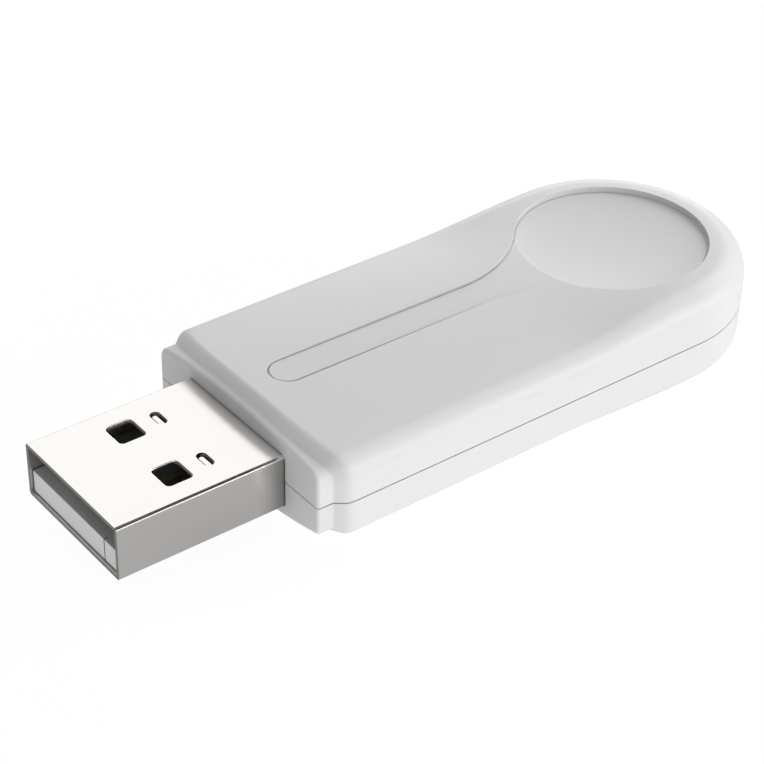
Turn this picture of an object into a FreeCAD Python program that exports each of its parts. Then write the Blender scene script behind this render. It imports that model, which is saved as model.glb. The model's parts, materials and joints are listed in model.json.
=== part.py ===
import FreeCAD, Part
import math
import os
from types import SimpleNamespace

import Sketcher
from FreeCAD import Placement, Rotation, Vector

# Wireless network dongle with a USB type A plug
# Millimetres. X runs across, Y along the length with the plug at the low end, Z up.
# The origin is under the middle of the part, on the surface it rests on.

doc = FreeCAD.newDocument("wireless_dongle")

# Driving dimensions: name, value, what it is
SIZES = [
    ("plug_width", 12.0, "outer width of the steel tube of the plug"),
    ("plug_height", 4.5, "outer height of the steel tube"),
    ("plug_length", 13.7, "length of tube in front of the housing"),
    ("plug_inside", 5.0, "length of tube held inside the housing"),
    ("plug_sheet", 0.3, "thickness of the steel sheet"),
    ("plug_corner", 0.4, "outer bend radius of the sheet"),
    ("plug_drop", 0.1, "middle of the plug below the seam of the housing"),
    ("window_width", 2.3, "width of a latch window"),
    ("window_length", 2.2, "length of a latch window"),
    ("window_corner", 0.35, "corner radius of a latch window"),
    ("window_offset", 3.0, "middle of a latch window from the middle of the plug"),
    ("window_start", 5.26, "front edge of the windows behind the mouth"),
    ("dimple_length", 1.8, "length of a pressed dimple, across the plug"),
    ("dimple_width", 0.85, "width of a pressed dimple"),
    ("dimple_depth", 0.2, "depth of a pressed dimple"),
    ("dimple_middle", 9.1, "middle of the dimples behind the mouth"),
    ("half_width", 10.7, "half the width of the housing"),
    ("tail_centre", 36.1, "centre of the round tail behind the front face"),
    ("seam_height", 4.3, "seam of the housing above the resting surface"),
    ("collar_step", 0.72, "collar lies this far inside the main housing"),
    ("collar_length", 0.6, "plain part of the collar"),
    ("front_round", 0.5, "radius round the front face of the collar"),
    ("step_end", 2.6, "end of the step from the collar to the main housing"),
    ("rise_start", 23.5, "start of the swelling towards the tail"),
    ("top_height", 4.31, "middle of the top above the seam"),
    ("top_crown", 55.0, "radius of the crowned top"),
    ("top_shoulder", 1.75, "radius along the upper side edge"),
    ("top_collar_shoulder", 1.03, "the same on the collar"),
    ("top_tail_height", 4.48, "top of the tail above the seam"),
    ("top_tail_shoulder", 2.3, "radius round the upper edge of the tail"),
    ("belly_height", 4.35, "middle of the belly below the seam, before it is flattened"),
    ("belly_crown", 39.5, "radius of the crowned belly"),
    ("belly_shoulder", 0.5, "radius along the lower side edge"),
    ("belly_collar_shoulder", 0.2, "the same on the collar"),
    ("belly_tail_height", 4.35, "bottom of the tail below the seam, before it is flattened"),
    ("belly_tail_shoulder", 2.0, "radius round the lower edge of the tail"),
    ("tail_crown", 400.0, "radius of the nearly flat faces of the tail"),
    ("dish_radius", 7.75, "radius of the round dish in the tail"),
    ("dish_edge_depth", 0.55, "depth of the dish at its wall"),
    ("dish_depth", 0.9, "depth of the dish in the middle"),
    ("channel_half_width", 1.52, "half the width of the finger channel"),
    ("channel_start", 3.1, "front end of the finger channel behind the front face"),
    ("channel_depth", 0.25, "depth of the finger channel"),
    ("flare_start", 22.0, "place where the channel starts to widen into the dish"),
    ("wall", 1.2, "wall of the housing at the seam"),
    ("front_wall", 2.4, "wall of the housing round the plug"),
    ("inner_corner", 1.0, "upright corners of the space inside"),
    ("roof_height", 2.4, "space inside above the seam"),
    ("floor_depth", 2.45, "space inside below the seam"),
    ("lip_width", 0.5, "thickness of the lip on the lower shell"),
    ("lip_height", 0.8, "height of the lip above the seam"),
    ("lip_start", 4.0, "front end of the lip behind the front face"),
    ("lip_clearance", 0.05, "side clearance of the lip in the upper shell"),
    ("seam_gap", 0.1, "open line between the two shells"),
    ("plug_clearance", 0.05, "clearance of the tube in the housing"),
    ("tongue_gap", 0.1, "clearance of the plastic core inside the tube"),
    ("tongue_top", 0.05, "top of the tongue below the middle of the plug"),
    ("tongue_setback", 0.2, "front of the tongue behind the mouth"),
    ("core_start", 12.2, "start of the full height block behind the mouth"),
    ("slit_offset", 3.9, "slit in the tongue from the middle of the plug"),
    ("slit_width", 0.12, "width of the slit in the tongue"),
    ("slit_depth", 0.4, "depth of the slit in the tongue"),
    ("contact_width", 1.0, "width of a contact"),
    ("contact_sheet", 0.25, "thickness of a contact"),
    ("contact_recess", 0.05, "top of a contact below the top of the tongue"),
    ("contact_clearance", 0.05, "side clearance of a contact in its groove"),
    ("data_offset", 1.0, "data contacts from the middle of the plug"),
    ("power_offset", 3.5, "power contacts from the middle of the plug"),
    ("contact_start", 2.6, "front of the power contacts behind the mouth"),
    ("data_setback", 1.0, "front of the data contacts behind the power contacts"),
    ("contact_tail", 2.2, "length of a contact on the board"),
    ("contact_hook", 0.6, "depth of the bent front end of a contact"),
    ("board_sheet", 0.8, "thickness of the circuit board"),
    ("board_clearance", 0.9, "space between the board and the wall of the housing"),
    ("board_gap", 0.1, "gap between the tube and the board"),
    ("board_corner", 0.8, "front corners of the board"),
    ("post_side", 2.2, "side of the square posts that hold the board"),
    ("peg_radius", 0.6, "radius of the locating pegs"),
    ("peg_clearance", 0.1, "clearance round the pegs"),
    ("peg_height", 1.2, "height of the pegs above the board"),
    ("post_inset", 2.6, "middle of the posts from the wall of the housing"),
    ("post_front", 10.5, "front posts behind the front face"),
    ("post_rear", 1.9, "rear posts behind the centre of the tail"),
    ("join_overlap", 0.3, "joined features reach this far into each other"),
    ("cut_margin", 1.0, "cuts start this far outside the part"),
    ("leg_length", 2.4, "solder legs of the tube behind its rear end"),
    ("leg_top", 0.8, "top of a solder leg above the middle of the plug"),
    ("leg_bottom", 1.6, "bottom of a solder leg below the middle of the plug"),
    ("leg_clearance", 0.1, "clearance of a leg in the board"),
    ("shield_side", 11.5, "side of the square shield can"),
    ("shield_height", 1.7, "height of the shield can"),
    ("shield_sheet", 0.2, "thickness of the shield can"),
    ("shield_corner", 0.6, "upright corners of the shield can"),
    ("shield_middle", 20.0, "middle of the shield can behind the front face"),
    ("vent_side", 1.0, "side of the square holes in the lid"),
    ("vent_pitch", 3.0, "holes from the middle of the lid"),
    ("radio_side", 6.0, "side of the square radio chip"),
    ("radio_height", 0.9, "height of the radio chip"),
    ("pad_pitch", 1.2, "pitch of the pads under the radio chip"),
    ("pad_length", 0.5, "length of a pad"),
    ("pad_width", 0.4, "width of a pad"),
    ("pad_height", 0.08, "height of a pad"),
    ("lead_width", 0.4, "width of a lead of a moulded chip"),
    ("lead_sheet", 0.15, "thickness of a lead"),
    ("lead_reach", 0.6, "reach of a lead beside the chip"),
    ("lead_stand", 0.1, "chip body above the board"),
    ("small_chip_width", 1.6, "body of the small moulded chips, across the leads"),
    ("small_chip_length", 2.9, "body of the small moulded chips, along the leads"),
    ("small_chip_height", 1.1, "height of the small moulded chips"),
    ("small_chip_pitch", 0.95, "pitch of their leads"),
    ("memory_width", 3.9, "body of the memory chip, across the leads"),
    ("memory_length", 4.9, "body of the memory chip, along the leads"),
    ("memory_height", 1.5, "height of the memory chip"),
    ("memory_pitch", 1.27, "pitch of the leads of the memory chip"),
    ("large_case_length", 1.6, "larger ceramic parts, end to end"),
    ("large_case_width", 0.8, "width of the larger ceramic parts"),
    ("large_case_height", 0.85, "height of the larger ceramic parts"),
    ("tiny_case_length", 1.0, "smaller ceramic parts, end to end"),
    ("tiny_case_width", 0.5, "width of the smaller ceramic parts"),
    ("tiny_case_height", 0.45, "height of the smaller ceramic parts"),
    ("crystal_length", 2.5, "length of the crystal can"),
    ("crystal_width", 2.0, "width of the crystal can"),
    ("crystal_height", 0.8, "height of the crystal can"),
    ("inductor_length", 2.5, "length of the power inductor"),
    ("inductor_width", 2.0, "width of the power inductor"),
    ("inductor_height", 1.2, "height of the power inductor"),
    ("filter_length", 2.0, "length of the antenna filter"),
    ("filter_width", 1.25, "width of the antenna filter"),
    ("antenna_length", 7.0, "length of the ceramic antenna"),
    ("antenna_width", 2.0, "width of the ceramic antenna"),
    ("antenna_height", 1.2, "height of the ceramic antenna"),
    ("entry_row", 2.9, "row of parts at the plug, behind the front of the board"),
    ("supply_row", 5.0, "row of the supply chips behind the front of the board"),
    ("data_row", 8.0, "row of the data parts behind the front of the board"),
    ("crystal_row", 6.6, "crystal behind the front of the board"),
    ("near_column", 1.2, "data resistors from the middle"),
    ("far_inset", 4.65, "supply parts and crystal from the side of the board"),
    ("side_inset", 3.4, "parts beside the memory chip from the side of the board"),
    ("memory_row", 9.6, "memory chip behind the middle of the shield can"),
    ("side_row", 8.6, "first small part beside the memory chip, from the same point"),
    ("side_pitch", 1.2, "pitch of the small parts beside the memory chip"),
    ("filter_row", 2.2, "antenna filter in front of the centre of the tail"),
    ("matching_row", 0.4, "matching inductor behind the centre of the tail"),
    ("antenna_row", 4.2, "antenna behind the centre of the tail"),
]

sheet = doc.addObject("Spreadsheet::Sheet", "dims")
for row, (name, value, note) in enumerate(SIZES, start=1):
    sheet.set(f"A{row}", note)
    sheet.set(f"B{row}", str(value))
    sheet.setAlias(f"B{row}", name)
doc.recompute()


class Size:
    """A length that knows its number and the formula that ties it to the sheet."""

    def __init__(self, number, formula=None):
        self.number = float(number)
        self.formula = formula or repr(float(number))

    def __add__(self, other):
        other = as_size(other)
        return Size(self.number + other.number, f"({self.formula} + {other.formula})")

    def __sub__(self, other):
        other = as_size(other)
        return Size(self.number - other.number, f"({self.formula} - {other.formula})")

    def __mul__(self, other):
        other = as_size(other)
        return Size(self.number * other.number, f"({self.formula} * {other.formula})")

    def __truediv__(self, other):
        other = as_size(other)
        return Size(self.number / other.number, f"({self.formula} / {other.formula})")

    def __radd__(self, other):
        return as_size(other) + self

    def __rsub__(self, other):
        return as_size(other) - self

    def __rmul__(self, other):
        return as_size(other) * self

    def __rtruediv__(self, other):
        return as_size(other) / self

    def __neg__(self):
        return as_size(0.0) - self


def as_size(value):
    return value if isinstance(value, Size) else Size(value)


NOWHERE = Size(0.0)
D = SimpleNamespace(**{name: Size(value, "dims." + name) for name, value, note in SIZES})

# Places that follow from the driving dimensions
total_length = D.plug_length + D.tail_centre + D.half_width
mouth_y = -total_length / 2
front_y = mouth_y + D.plug_length
plug_z = D.seam_height - D.plug_drop
contact_top = -(D.tongue_top + D.contact_recess)
contact_bottom = contact_top - D.contact_sheet
tube_length = D.plug_length + D.plug_inside
board_front = D.plug_inside + D.board_gap
board_half_width = D.half_width - D.wall - D.board_clearance
post_offset = D.half_width - D.wall - D.post_inset
board_top = plug_z + contact_bottom
board_bottom = board_top - D.board_sheet


# Helpers for bodies and sketches

def tie(thing, path, value):
    """Ties one property to the sheet."""
    thing.setExpression(path, as_size(value).formula)


def place(thing, x=0.0, y=0.0, z=0.0):
    """Puts a finished piece at its place."""
    thing.Placement.Base = Vector(as_size(x).number, as_size(y).number, as_size(z).number)
    for axis, value in (("x", x), ("y", y), ("z", z)):
        tie(thing, f"Placement.Base.{axis}", value)


def new_body(name):
    body = doc.addObject("PartDesign::Body", name)
    body.Label = name
    return body


def new_sketch(body, name, plane, offset=0.0):
    """A sketch on one of the body's own planes, moved along the plane's normal."""
    sketch = body.newObject("Sketcher::SketchObject", name)
    for feature in body.Origin.OriginFeatures:
        if feature.Role == plane:
            sketch.AttachmentSupport = [(feature, "")]
    sketch.MapMode = "FlatFace"
    sketch.AttachmentOffset = Placement(Vector(0, 0, as_size(offset).number), Rotation())
    tie(sketch, "AttachmentOffset.Base.z", offset)
    return sketch


def line(sketch, start, end):
    return sketch.addGeometry(Part.LineSegment(Vector(*start, 0), Vector(*end, 0)))


def arc(sketch, centre, radius, first, last):
    circle = Part.Circle(Vector(*centre, 0), Vector(0, 0, 1), radius)
    return sketch.addGeometry(Part.ArcOfCircle(circle, first, last))


def in_numbers(words):
    """Puts the sketcher's own numbers in place of the words for points and axes."""
    known = {"start": [1], "end": [2], "centre": [3], "origin": [-1, 1], "upright": [-2]}
    numbers = []
    for word in words:
        numbers += known.get(word, [word])
    return numbers


def rule(sketch, *words):
    """A geometric constraint without a size."""
    sketch.addConstraint(Sketcher.Constraint(*in_numbers(words)))


def measure(sketch, name, value, *words):
    """A constraint with a size that is tied to the sheet."""
    number = sketch.addConstraint(Sketcher.Constraint(*in_numbers(words), value.number))
    sketch.renameConstraint(number, name)
    tie(sketch, f"Constraints.{name}", value)


def smooth(share):
    """Smooth step from 0 to 1 with level ends."""
    share = min(max(share, 0.0), 1.0)
    return share * share * (3.0 - 2.0 * share)


def circles(sketch, name, places, radius):
    """Equal circles at places given as pairs of sizes."""
    first = None
    for number, (x, y) in enumerate(places):
        circle = Part.Circle(Vector(x.number, y.number, 0), Vector(0, 0, 1), radius.number)
        item = sketch.addGeometry(circle)
        distance(sketch, f"{name}{number}_x", (item, "centre"), x, "DistanceX")
        distance(sketch, f"{name}{number}_y", (item, "centre"), y, "DistanceY")
        if first is None:
            first = item
            measure(sketch, f"{name}_radius", radius, "Radius", item)
        else:
            rule(sketch, "Equal", first, item)


def distance(sketch, name, point, value, kind):
    """Distance of a point from the sketch origin; the value may be negative."""
    if value.number >= 0:
        measure(sketch, name, value, kind, "origin", *point)
    else:
        measure(sketch, name, -value, kind, *point, "origin")


def squares(sketch, name, places, side):
    """Equal squares about places given as pairs of sizes."""
    for number, (x, y) in enumerate(places):
        box_outline(sketch, f"{name}{number}", x - side / 2, x + side / 2,
                    y - side / 2, y + side / 2)


def box_outline(sketch, name, left, right, low, high):
    """A rectangle between four sizes."""
    corners = [(left, low), (right, low), (right, high), (left, high)]
    points = [(x.number, y.number) for x, y in corners]
    sides = [line(sketch, points[i], points[(i + 1) % 4]) for i in range(4)]
    for i in range(4):
        rule(sketch, "Coincident", sides[i], "end", sides[(i + 1) % 4], "start")
    for i in (0, 2):
        rule(sketch, "Horizontal", sides[i])
        rule(sketch, "Vertical", sides[i + 1])
    distance(sketch, f"{name}_left", (sides[0], "start"), left, "DistanceX")
    distance(sketch, f"{name}_right", (sides[1], "start"), right, "DistanceX")
    distance(sketch, f"{name}_low", (sides[0], "start"), low, "DistanceY")
    distance(sketch, f"{name}_high", (sides[2], "start"), high, "DistanceY")


def closed_outline(sketch, name, corners):
    """Straight lines through corners that are pairs of sizes, closed at the end."""
    points = [(x.number, y.number) for x, y in corners]
    count = len(points)
    sides = [line(sketch, points[i], points[(i + 1) % count]) for i in range(count)]
    for i in range(count):
        rule(sketch, "Coincident", sides[i], "end", sides[(i + 1) % count], "start")
    for i, (x, y) in enumerate(corners):
        distance(sketch, f"{name}{i}_x", (sides[i], "start"), x, "DistanceX")
        distance(sketch, f"{name}{i}_y", (sides[i], "start"), y, "DistanceY")


def rounded_box(sketch, name, x, y, width, height, corner):
    """A rectangle with round corners about the point x, y."""
    w, h, r = width.number / 2, height.number / 2, corner.number
    cx, cy = x.number, y.number
    quarter = math.pi / 2
    bottom = line(sketch, (cx - w + r, cy - h), (cx + w - r, cy - h))
    arc_a = arc(sketch, (cx + w - r, cy - h + r), r, -quarter, 0)
    right = line(sketch, (cx + w, cy - h + r), (cx + w, cy + h - r))
    arc_b = arc(sketch, (cx + w - r, cy + h - r), r, 0, quarter)
    top = line(sketch, (cx + w - r, cy + h), (cx - w + r, cy + h))
    arc_c = arc(sketch, (cx - w + r, cy + h - r), r, quarter, 2 * quarter)
    left = line(sketch, (cx - w, cy + h - r), (cx - w, cy - h + r))
    arc_d = arc(sketch, (cx - w + r, cy - h + r), r, 2 * quarter, 3 * quarter)
    chain = [bottom, arc_a, right, arc_b, top, arc_c, left, arc_d]
    for first, second in zip(chain, chain[1:] + chain[:1]):
        rule(sketch, "Tangent", first, "end", second, "start")
    rule(sketch, "Horizontal", bottom)
    rule(sketch, "Vertical", right)
    for other in (arc_b, arc_c, arc_d):
        rule(sketch, "Equal", arc_a, other)
    measure(sketch, f"{name}_corner", corner, "Radius", arc_a)
    distance(sketch, f"{name}_left", (left, "start"), x - width / 2, "DistanceX")
    distance(sketch, f"{name}_right", (right, "start"), x + width / 2, "DistanceX")
    distance(sketch, f"{name}_low", (bottom, "start"), y - height / 2, "DistanceY")
    distance(sketch, f"{name}_high", (top, "start"), y + height / 2, "DistanceY")


def plan_outline(sketch, start, half_width, corner):
    """Outline seen from above: straight front, straight sides and a round tail."""
    w, r = half_width.number, corner.number
    front_at, tail_at = start.number, D.tail_centre.number
    front = line(sketch, (-w + r, front_at), (w - r, front_at))
    corner_a = arc(sketch, (w - r, front_at + r), r, -math.pi / 2, 0)
    right = line(sketch, (w, front_at + r), (w, tail_at))
    tail = arc(sketch, (0, tail_at), w, 0, math.pi)
    left = line(sketch, (-w, tail_at), (-w, front_at + r))
    corner_b = arc(sketch, (-w + r, front_at + r), r, math.pi, 1.5 * math.pi)
    chain = [front, corner_a, right, tail, left, corner_b]
    for first, second in zip(chain, chain[1:] + chain[:1]):
        rule(sketch, "Tangent", first, "end", second, "start")
    rule(sketch, "Horizontal", front)
    rule(sketch, "Vertical", right)
    rule(sketch, "Vertical", left)
    rule(sketch, "Equal", corner_a, corner_b)
    rule(sketch, "PointOnObject", tail, "centre", "upright")
    measure(sketch, "corner", corner, "Radius", corner_a)
    measure(sketch, "tail", half_width, "Radius", tail)
    distance(sketch, "tail_at", (tail, "centre"), D.tail_centre, "DistanceY")
    distance(sketch, "front_at", (front, "start"), start, "DistanceY")


def pad(body, name, sketch, length, reverse=False):
    feature = body.newObject("PartDesign::Pad", name)
    feature.Profile = sketch
    feature.Length = length.number
    feature.Reversed = reverse
    tie(feature, "Length", length)
    return feature


def pocket(body, name, sketch, length, reverse=False):
    feature = body.newObject("PartDesign::Pocket", name)
    feature.Profile = sketch
    feature.Length = length.number
    feature.Reversed = reverse
    tie(feature, "Length", length)
    return feature


# Outer form of a housing shell
# Each shell is drawn seam down: its local Z starts at the seam and points outwards.

SHOULDER_STEPS = 5
CROWN_STEPS = 2


def in_steps(sketch, guide, centre, radius, first, last, steps):
    """Straight lines of equal length along an arc, which stays as their guide."""
    sketch.toggleConstruction(guide)
    points = []
    for i in range(steps + 1):
        angle = first + (last - first) * i / steps
        points.append((centre[0] + radius * math.cos(angle),
                       centre[1] + radius * math.sin(angle)))
    lines = [line(sketch, start, end) for start, end in zip(points, points[1:])]
    rule(sketch, "Coincident", lines[0], "start", guide, "start")
    rule(sketch, "Coincident", lines[-1], "end", guide, "end")
    for before, after in zip(lines, lines[1:]):
        rule(sketch, "Coincident", before, "end", after, "start")
        rule(sketch, "PointOnObject", before, "end", guide)
        rule(sketch, "Equal", before, after)


def crown_section(body, name, y, half_width, height, crown, shoulder, half=False):
    """Cross-section with upright sides, round shoulders and a crowned top.

    The half section is for turning, so its two curves are drawn in straight steps.
    """
    sketch = new_sketch(body, name, "XZ_Plane", -y)
    w, r, big = half_width.number, shoulder.number, crown.number
    drop = crown - height
    rise = math.sqrt((big - r) ** 2 - (w - r) ** 2)
    spring = rise - drop.number
    turn = math.atan2(rise, w - r)
    left_end = 0.0 if half else -w
    base = line(sketch, (left_end, 0), (w, 0))
    right = line(sketch, (w, 0), (w, spring))
    right_arc = arc(sketch, (w - r, spring), r, 0, turn)
    last = math.pi / 2 if half else math.pi - turn
    top = arc(sketch, (0, -drop.number), big, turn, last)
    rule(sketch, "Coincident", base, "end", right, "start")
    rule(sketch, "Tangent", right, "end", right_arc, "start")
    rule(sketch, "Tangent", right_arc, "end", top, "start")
    rule(sketch, "Horizontal", base)
    rule(sketch, "Vertical", right)
    rule(sketch, "PointOnObject", top, "centre", "upright")
    if half:
        axis = line(sketch, (0, height.number), (0, 0))
        rule(sketch, "Coincident", top, "end", axis, "start")
        rule(sketch, "Coincident", axis, "end", base, "start")
        rule(sketch, "Coincident", base, "start", "origin")
        rule(sketch, "Vertical", axis)
        in_steps(sketch, right_arc, (w - r, spring), r, 0, turn, SHOULDER_STEPS)
        in_steps(sketch, top, (0, -drop.number), big, turn, last, CROWN_STEPS)
    else:
        left_arc = arc(sketch, (-w + r, spring), r, math.pi - turn, math.pi)
        left = line(sketch, (-w, spring), (-w, 0))
        rule(sketch, "Tangent", top, "end", left_arc, "start")
        rule(sketch, "Tangent", left_arc, "end", left, "start")
        rule(sketch, "Coincident", left, "end", base, "start")
        rule(sketch, "Vertical", left)
        rule(sketch, "Equal", right_arc, left_arc)
        rule(sketch, "Symmetric", base, "start", base, "end", "origin")
    distance(sketch, "half_width", (base, "end"), half_width, "DistanceX")
    measure(sketch, "shoulder", shoulder, "Radius", right_arc)
    measure(sketch, "crown", crown, "Radius", top)
    distance(sketch, "crown_centre", (top, "centre"), -drop, "DistanceY")
    return sketch


# The front edge is rounded by a few straight steps
FRONT_STATIONS = 3

# The step rises first in the middle of the top and last on the sides
STEP_STATIONS = 6
TOP_STEP = (0.0, 0.5)
SIDE_STEP = (0.34, 1.0)
RISE_STATIONS = 4


def step_share(share, span):
    return smooth((share - span[0]) / (span[1] - span[0]))


def loft(body, name, sketches):
    feature = body.newObject("PartDesign::AdditiveLoft", name)
    feature.Profile = sketches[0]
    feature.Sections = [(sketch, [""]) for sketch in sketches[1:]]
    feature.Ruled = True
    return feature


def outer_form(body, height, crown, shoulder, collar_shoulder, tail_height, tail_shoulder):
    """Collar, step, straight bar, swelling and round tail, all in one body."""
    stations = []
    for i in range(FRONT_STATIONS + 1):
        angle = math.pi / 2 * i / FRONT_STATIONS
        behind = D.front_round * (1 - math.cos(angle))
        inset = D.front_round * (1 - math.sin(angle))
        stations.append(crown_section(
            body, f"front_section_{i}", behind,
            D.half_width - D.collar_step - inset,
            height - D.collar_step - inset,
            crown,
            collar_shoulder * (1 - 0.6 * (1 - math.sin(angle)))))
    stations.append(crown_section(
        body, "collar_section", D.collar_length, D.half_width - D.collar_step,
        height - D.collar_step, crown, collar_shoulder))
    loft(body, "collar", stations)

    stations = []
    for i in range(STEP_STATIONS + 1):
        share = i / STEP_STATIONS
        top_share = step_share(share, TOP_STEP)
        side_share = step_share(share, SIDE_STEP)
        bend = 2 * D.collar_step * (top_share - side_share) / (D.half_width * D.half_width)
        station = crown_section(
            body, f"step_section_{i}",
            D.collar_length + (D.step_end - D.collar_length) * share,
            D.half_width - D.collar_step * (1 - side_share),
            height - D.collar_step * (1 - top_share),
            1 / (1 / crown + bend),
            collar_shoulder + (shoulder - collar_shoulder) * side_share)
        stations.append(station)
    loft(body, "step", stations)

    bar = crown_section(body, "bar_section", D.step_end, D.half_width, height, crown, shoulder)
    pad(body, "bar", bar, D.rise_start - D.step_end, reverse=True)

    stations = []
    for i in range(RISE_STATIONS + 1):
        share = smooth(i / RISE_STATIONS)
        station = crown_section(
            body, f"rise_section_{i}",
            D.rise_start + (D.tail_centre - D.rise_start) * (i / RISE_STATIONS),
            D.half_width,
            height + (tail_height - height) * share,
            1 / ((1 - share) / crown + share / D.tail_crown),
            shoulder + (tail_shoulder - shoulder) * share)
        stations.append(station)
    loft(body, "rise", stations)

    profile = crown_section(body, "tail_section", D.tail_centre, D.half_width, tail_height,
                            D.tail_crown, tail_shoulder, half=True)
    tail = body.newObject("PartDesign::Revolution", "tail")
    tail.Profile = profile
    tail.ReferenceAxis = (profile, ["V_Axis"])
    tail.Angle = 180
    doc.recompute()
    if tail.Shape.BoundBox.YMax < (D.tail_centre + D.half_width * 0.5).number:
        tail.Reversed = True


def inner_space(body, height):
    """The hollow inside the shell, open at the seam."""
    outline = new_sketch(body, "inner_plan", "XY_Plane")
    plan_outline(outline, D.front_wall, D.half_width - D.wall, D.inner_corner)
    pocket(body, "inner_space", outline, height, reverse=True)


def plug_opening(body, height):
    """The half of the plug's opening that lies in this shell."""
    outline = new_sketch(body, "opening_outline", "XZ_Plane")
    reach = D.plug_width / 2 + D.plug_clearance
    box_outline(outline, "opening", -reach, reach, -D.cut_margin, height + D.plug_clearance)
    pocket(body, "plug_opening", outline, D.front_wall + D.join_overlap)


POSTS = [
    (-post_offset, D.post_front),
    (post_offset, D.post_front),
    (-post_offset, D.tail_centre + D.post_rear),
    (post_offset, D.tail_centre + D.post_rear),
]


# Upper shell

# The hollow of the dish deepens in a few straight steps
DISH_STEPS = 3


def upper_housing():
    body = new_body("upper_housing")
    outer_form(body, D.top_height, D.top_crown, D.top_shoulder, D.top_collar_shoulder,
               D.top_tail_height, D.top_tail_shoulder)

    channel = new_sketch(body, "channel_outline", "XY_Plane", D.top_height + D.cut_margin)
    half, dish, tail_at = D.channel_half_width, D.dish_radius, D.tail_centre
    g, r, yc, yf = half.number, dish.number, tail_at.number, D.flare_start.number
    flare = ((yc - yf) ** 2 + g ** 2 - r ** 2) / (2 * (r - g))
    front_at = D.channel_start.number + g
    touch = math.atan2(-(yc - yf), g + flare)
    nose = arc(channel, (0, front_at), g, math.pi, 2 * math.pi)
    right = line(channel, (g, front_at), (g, yf))
    flare_right = arc(channel, (g + flare, yf), flare, math.pi + touch, math.pi)
    rim = arc(channel, (0, yc), r, touch, math.pi - touch)
    flare_left = arc(channel, (-g - flare, yf), flare, 0, -touch)
    left = line(channel, (-g, yf), (-g, front_at))
    rule(channel, "Tangent", nose, "end", right, "start")
    rule(channel, "Tangent", right, "end", flare_right, "end")
    rule(channel, "Tangent", flare_right, "start", rim, "start")
    rule(channel, "Tangent", rim, "end", flare_left, "end")
    rule(channel, "Tangent", flare_left, "start", left, "start")
    rule(channel, "Tangent", left, "end", nose, "start")
    rule(channel, "Vertical", right)
    rule(channel, "PointOnObject", nose, "centre", "upright")
    rule(channel, "PointOnObject", rim, "centre", "upright")
    rule(channel, "Equal", flare_right, flare_left)
    measure(channel, "nose_radius", half, "Radius", nose)
    measure(channel, "rim_radius", dish, "Radius", rim)
    distance(channel, "nose_at", (nose, "centre"), D.channel_start + half, "DistanceY")
    distance(channel, "rim_at", (rim, "centre"), tail_at, "DistanceY")
    distance(channel, "flare_at", (right, "end"), D.flare_start, "DistanceY")
    pocket(body, "channel", channel, D.channel_depth + D.cut_margin)

    dish_sketch = new_sketch(body, "dish_section", "XZ_Plane", -tail_at)
    lid_z = D.top_tail_height + D.cut_margin
    corners = [(NOWHERE, lid_z)]
    for i in range(DISH_STEPS + 1):
        share = i / DISH_STEPS
        depth = D.dish_depth - (D.dish_depth - D.dish_edge_depth) * share * share
        corners.append((dish * share, D.top_tail_height - depth))
    corners.append((dish, lid_z))
    closed_outline(dish_sketch, "dish", corners)
    dish_cut = body.newObject("PartDesign::Groove", "dish")
    dish_cut.Profile = dish_sketch
    dish_cut.ReferenceAxis = (dish_sketch, ["V_Axis"])
    dish_cut.Angle = 360

    inner_space(body, D.roof_height)
    plug_opening(body, D.plug_height / 2 - D.plug_drop)

    rebate = new_sketch(body, "rebate_plan", "XY_Plane")
    plan_outline(rebate, D.lip_start - D.lip_clearance,
                 D.half_width - D.wall + D.lip_width + D.lip_clearance, D.inner_corner)
    pocket(body, "lip_rebate", rebate, D.lip_height, reverse=True)

    gap = new_sketch(body, "seam_plan", "XY_Plane")
    side = D.half_width + D.cut_margin
    box_outline(gap, "gap", -side, side, -D.cut_margin, D.tail_centre + side)
    pocket(body, "seam_line", gap, D.seam_gap, reverse=True)

    posts = new_sketch(body, "post_plans", "XY_Plane", board_top - D.seam_height)
    squares(posts, "post", POSTS, D.post_side)
    pad(body, "posts", posts, D.roof_height + D.join_overlap - (board_top - D.seam_height))
    bores = new_sketch(body, "bore_circles", "XY_Plane", board_top - D.seam_height)
    circles(bores, "bore", POSTS, D.peg_radius + D.peg_clearance)
    pocket(body, "post_bores", bores, D.peg_height + 3 * D.peg_clearance, reverse=True)
    place(body, y=front_y, z=D.seam_height)
    return body


# Lower shell, turned over so that its local Z points down

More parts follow.
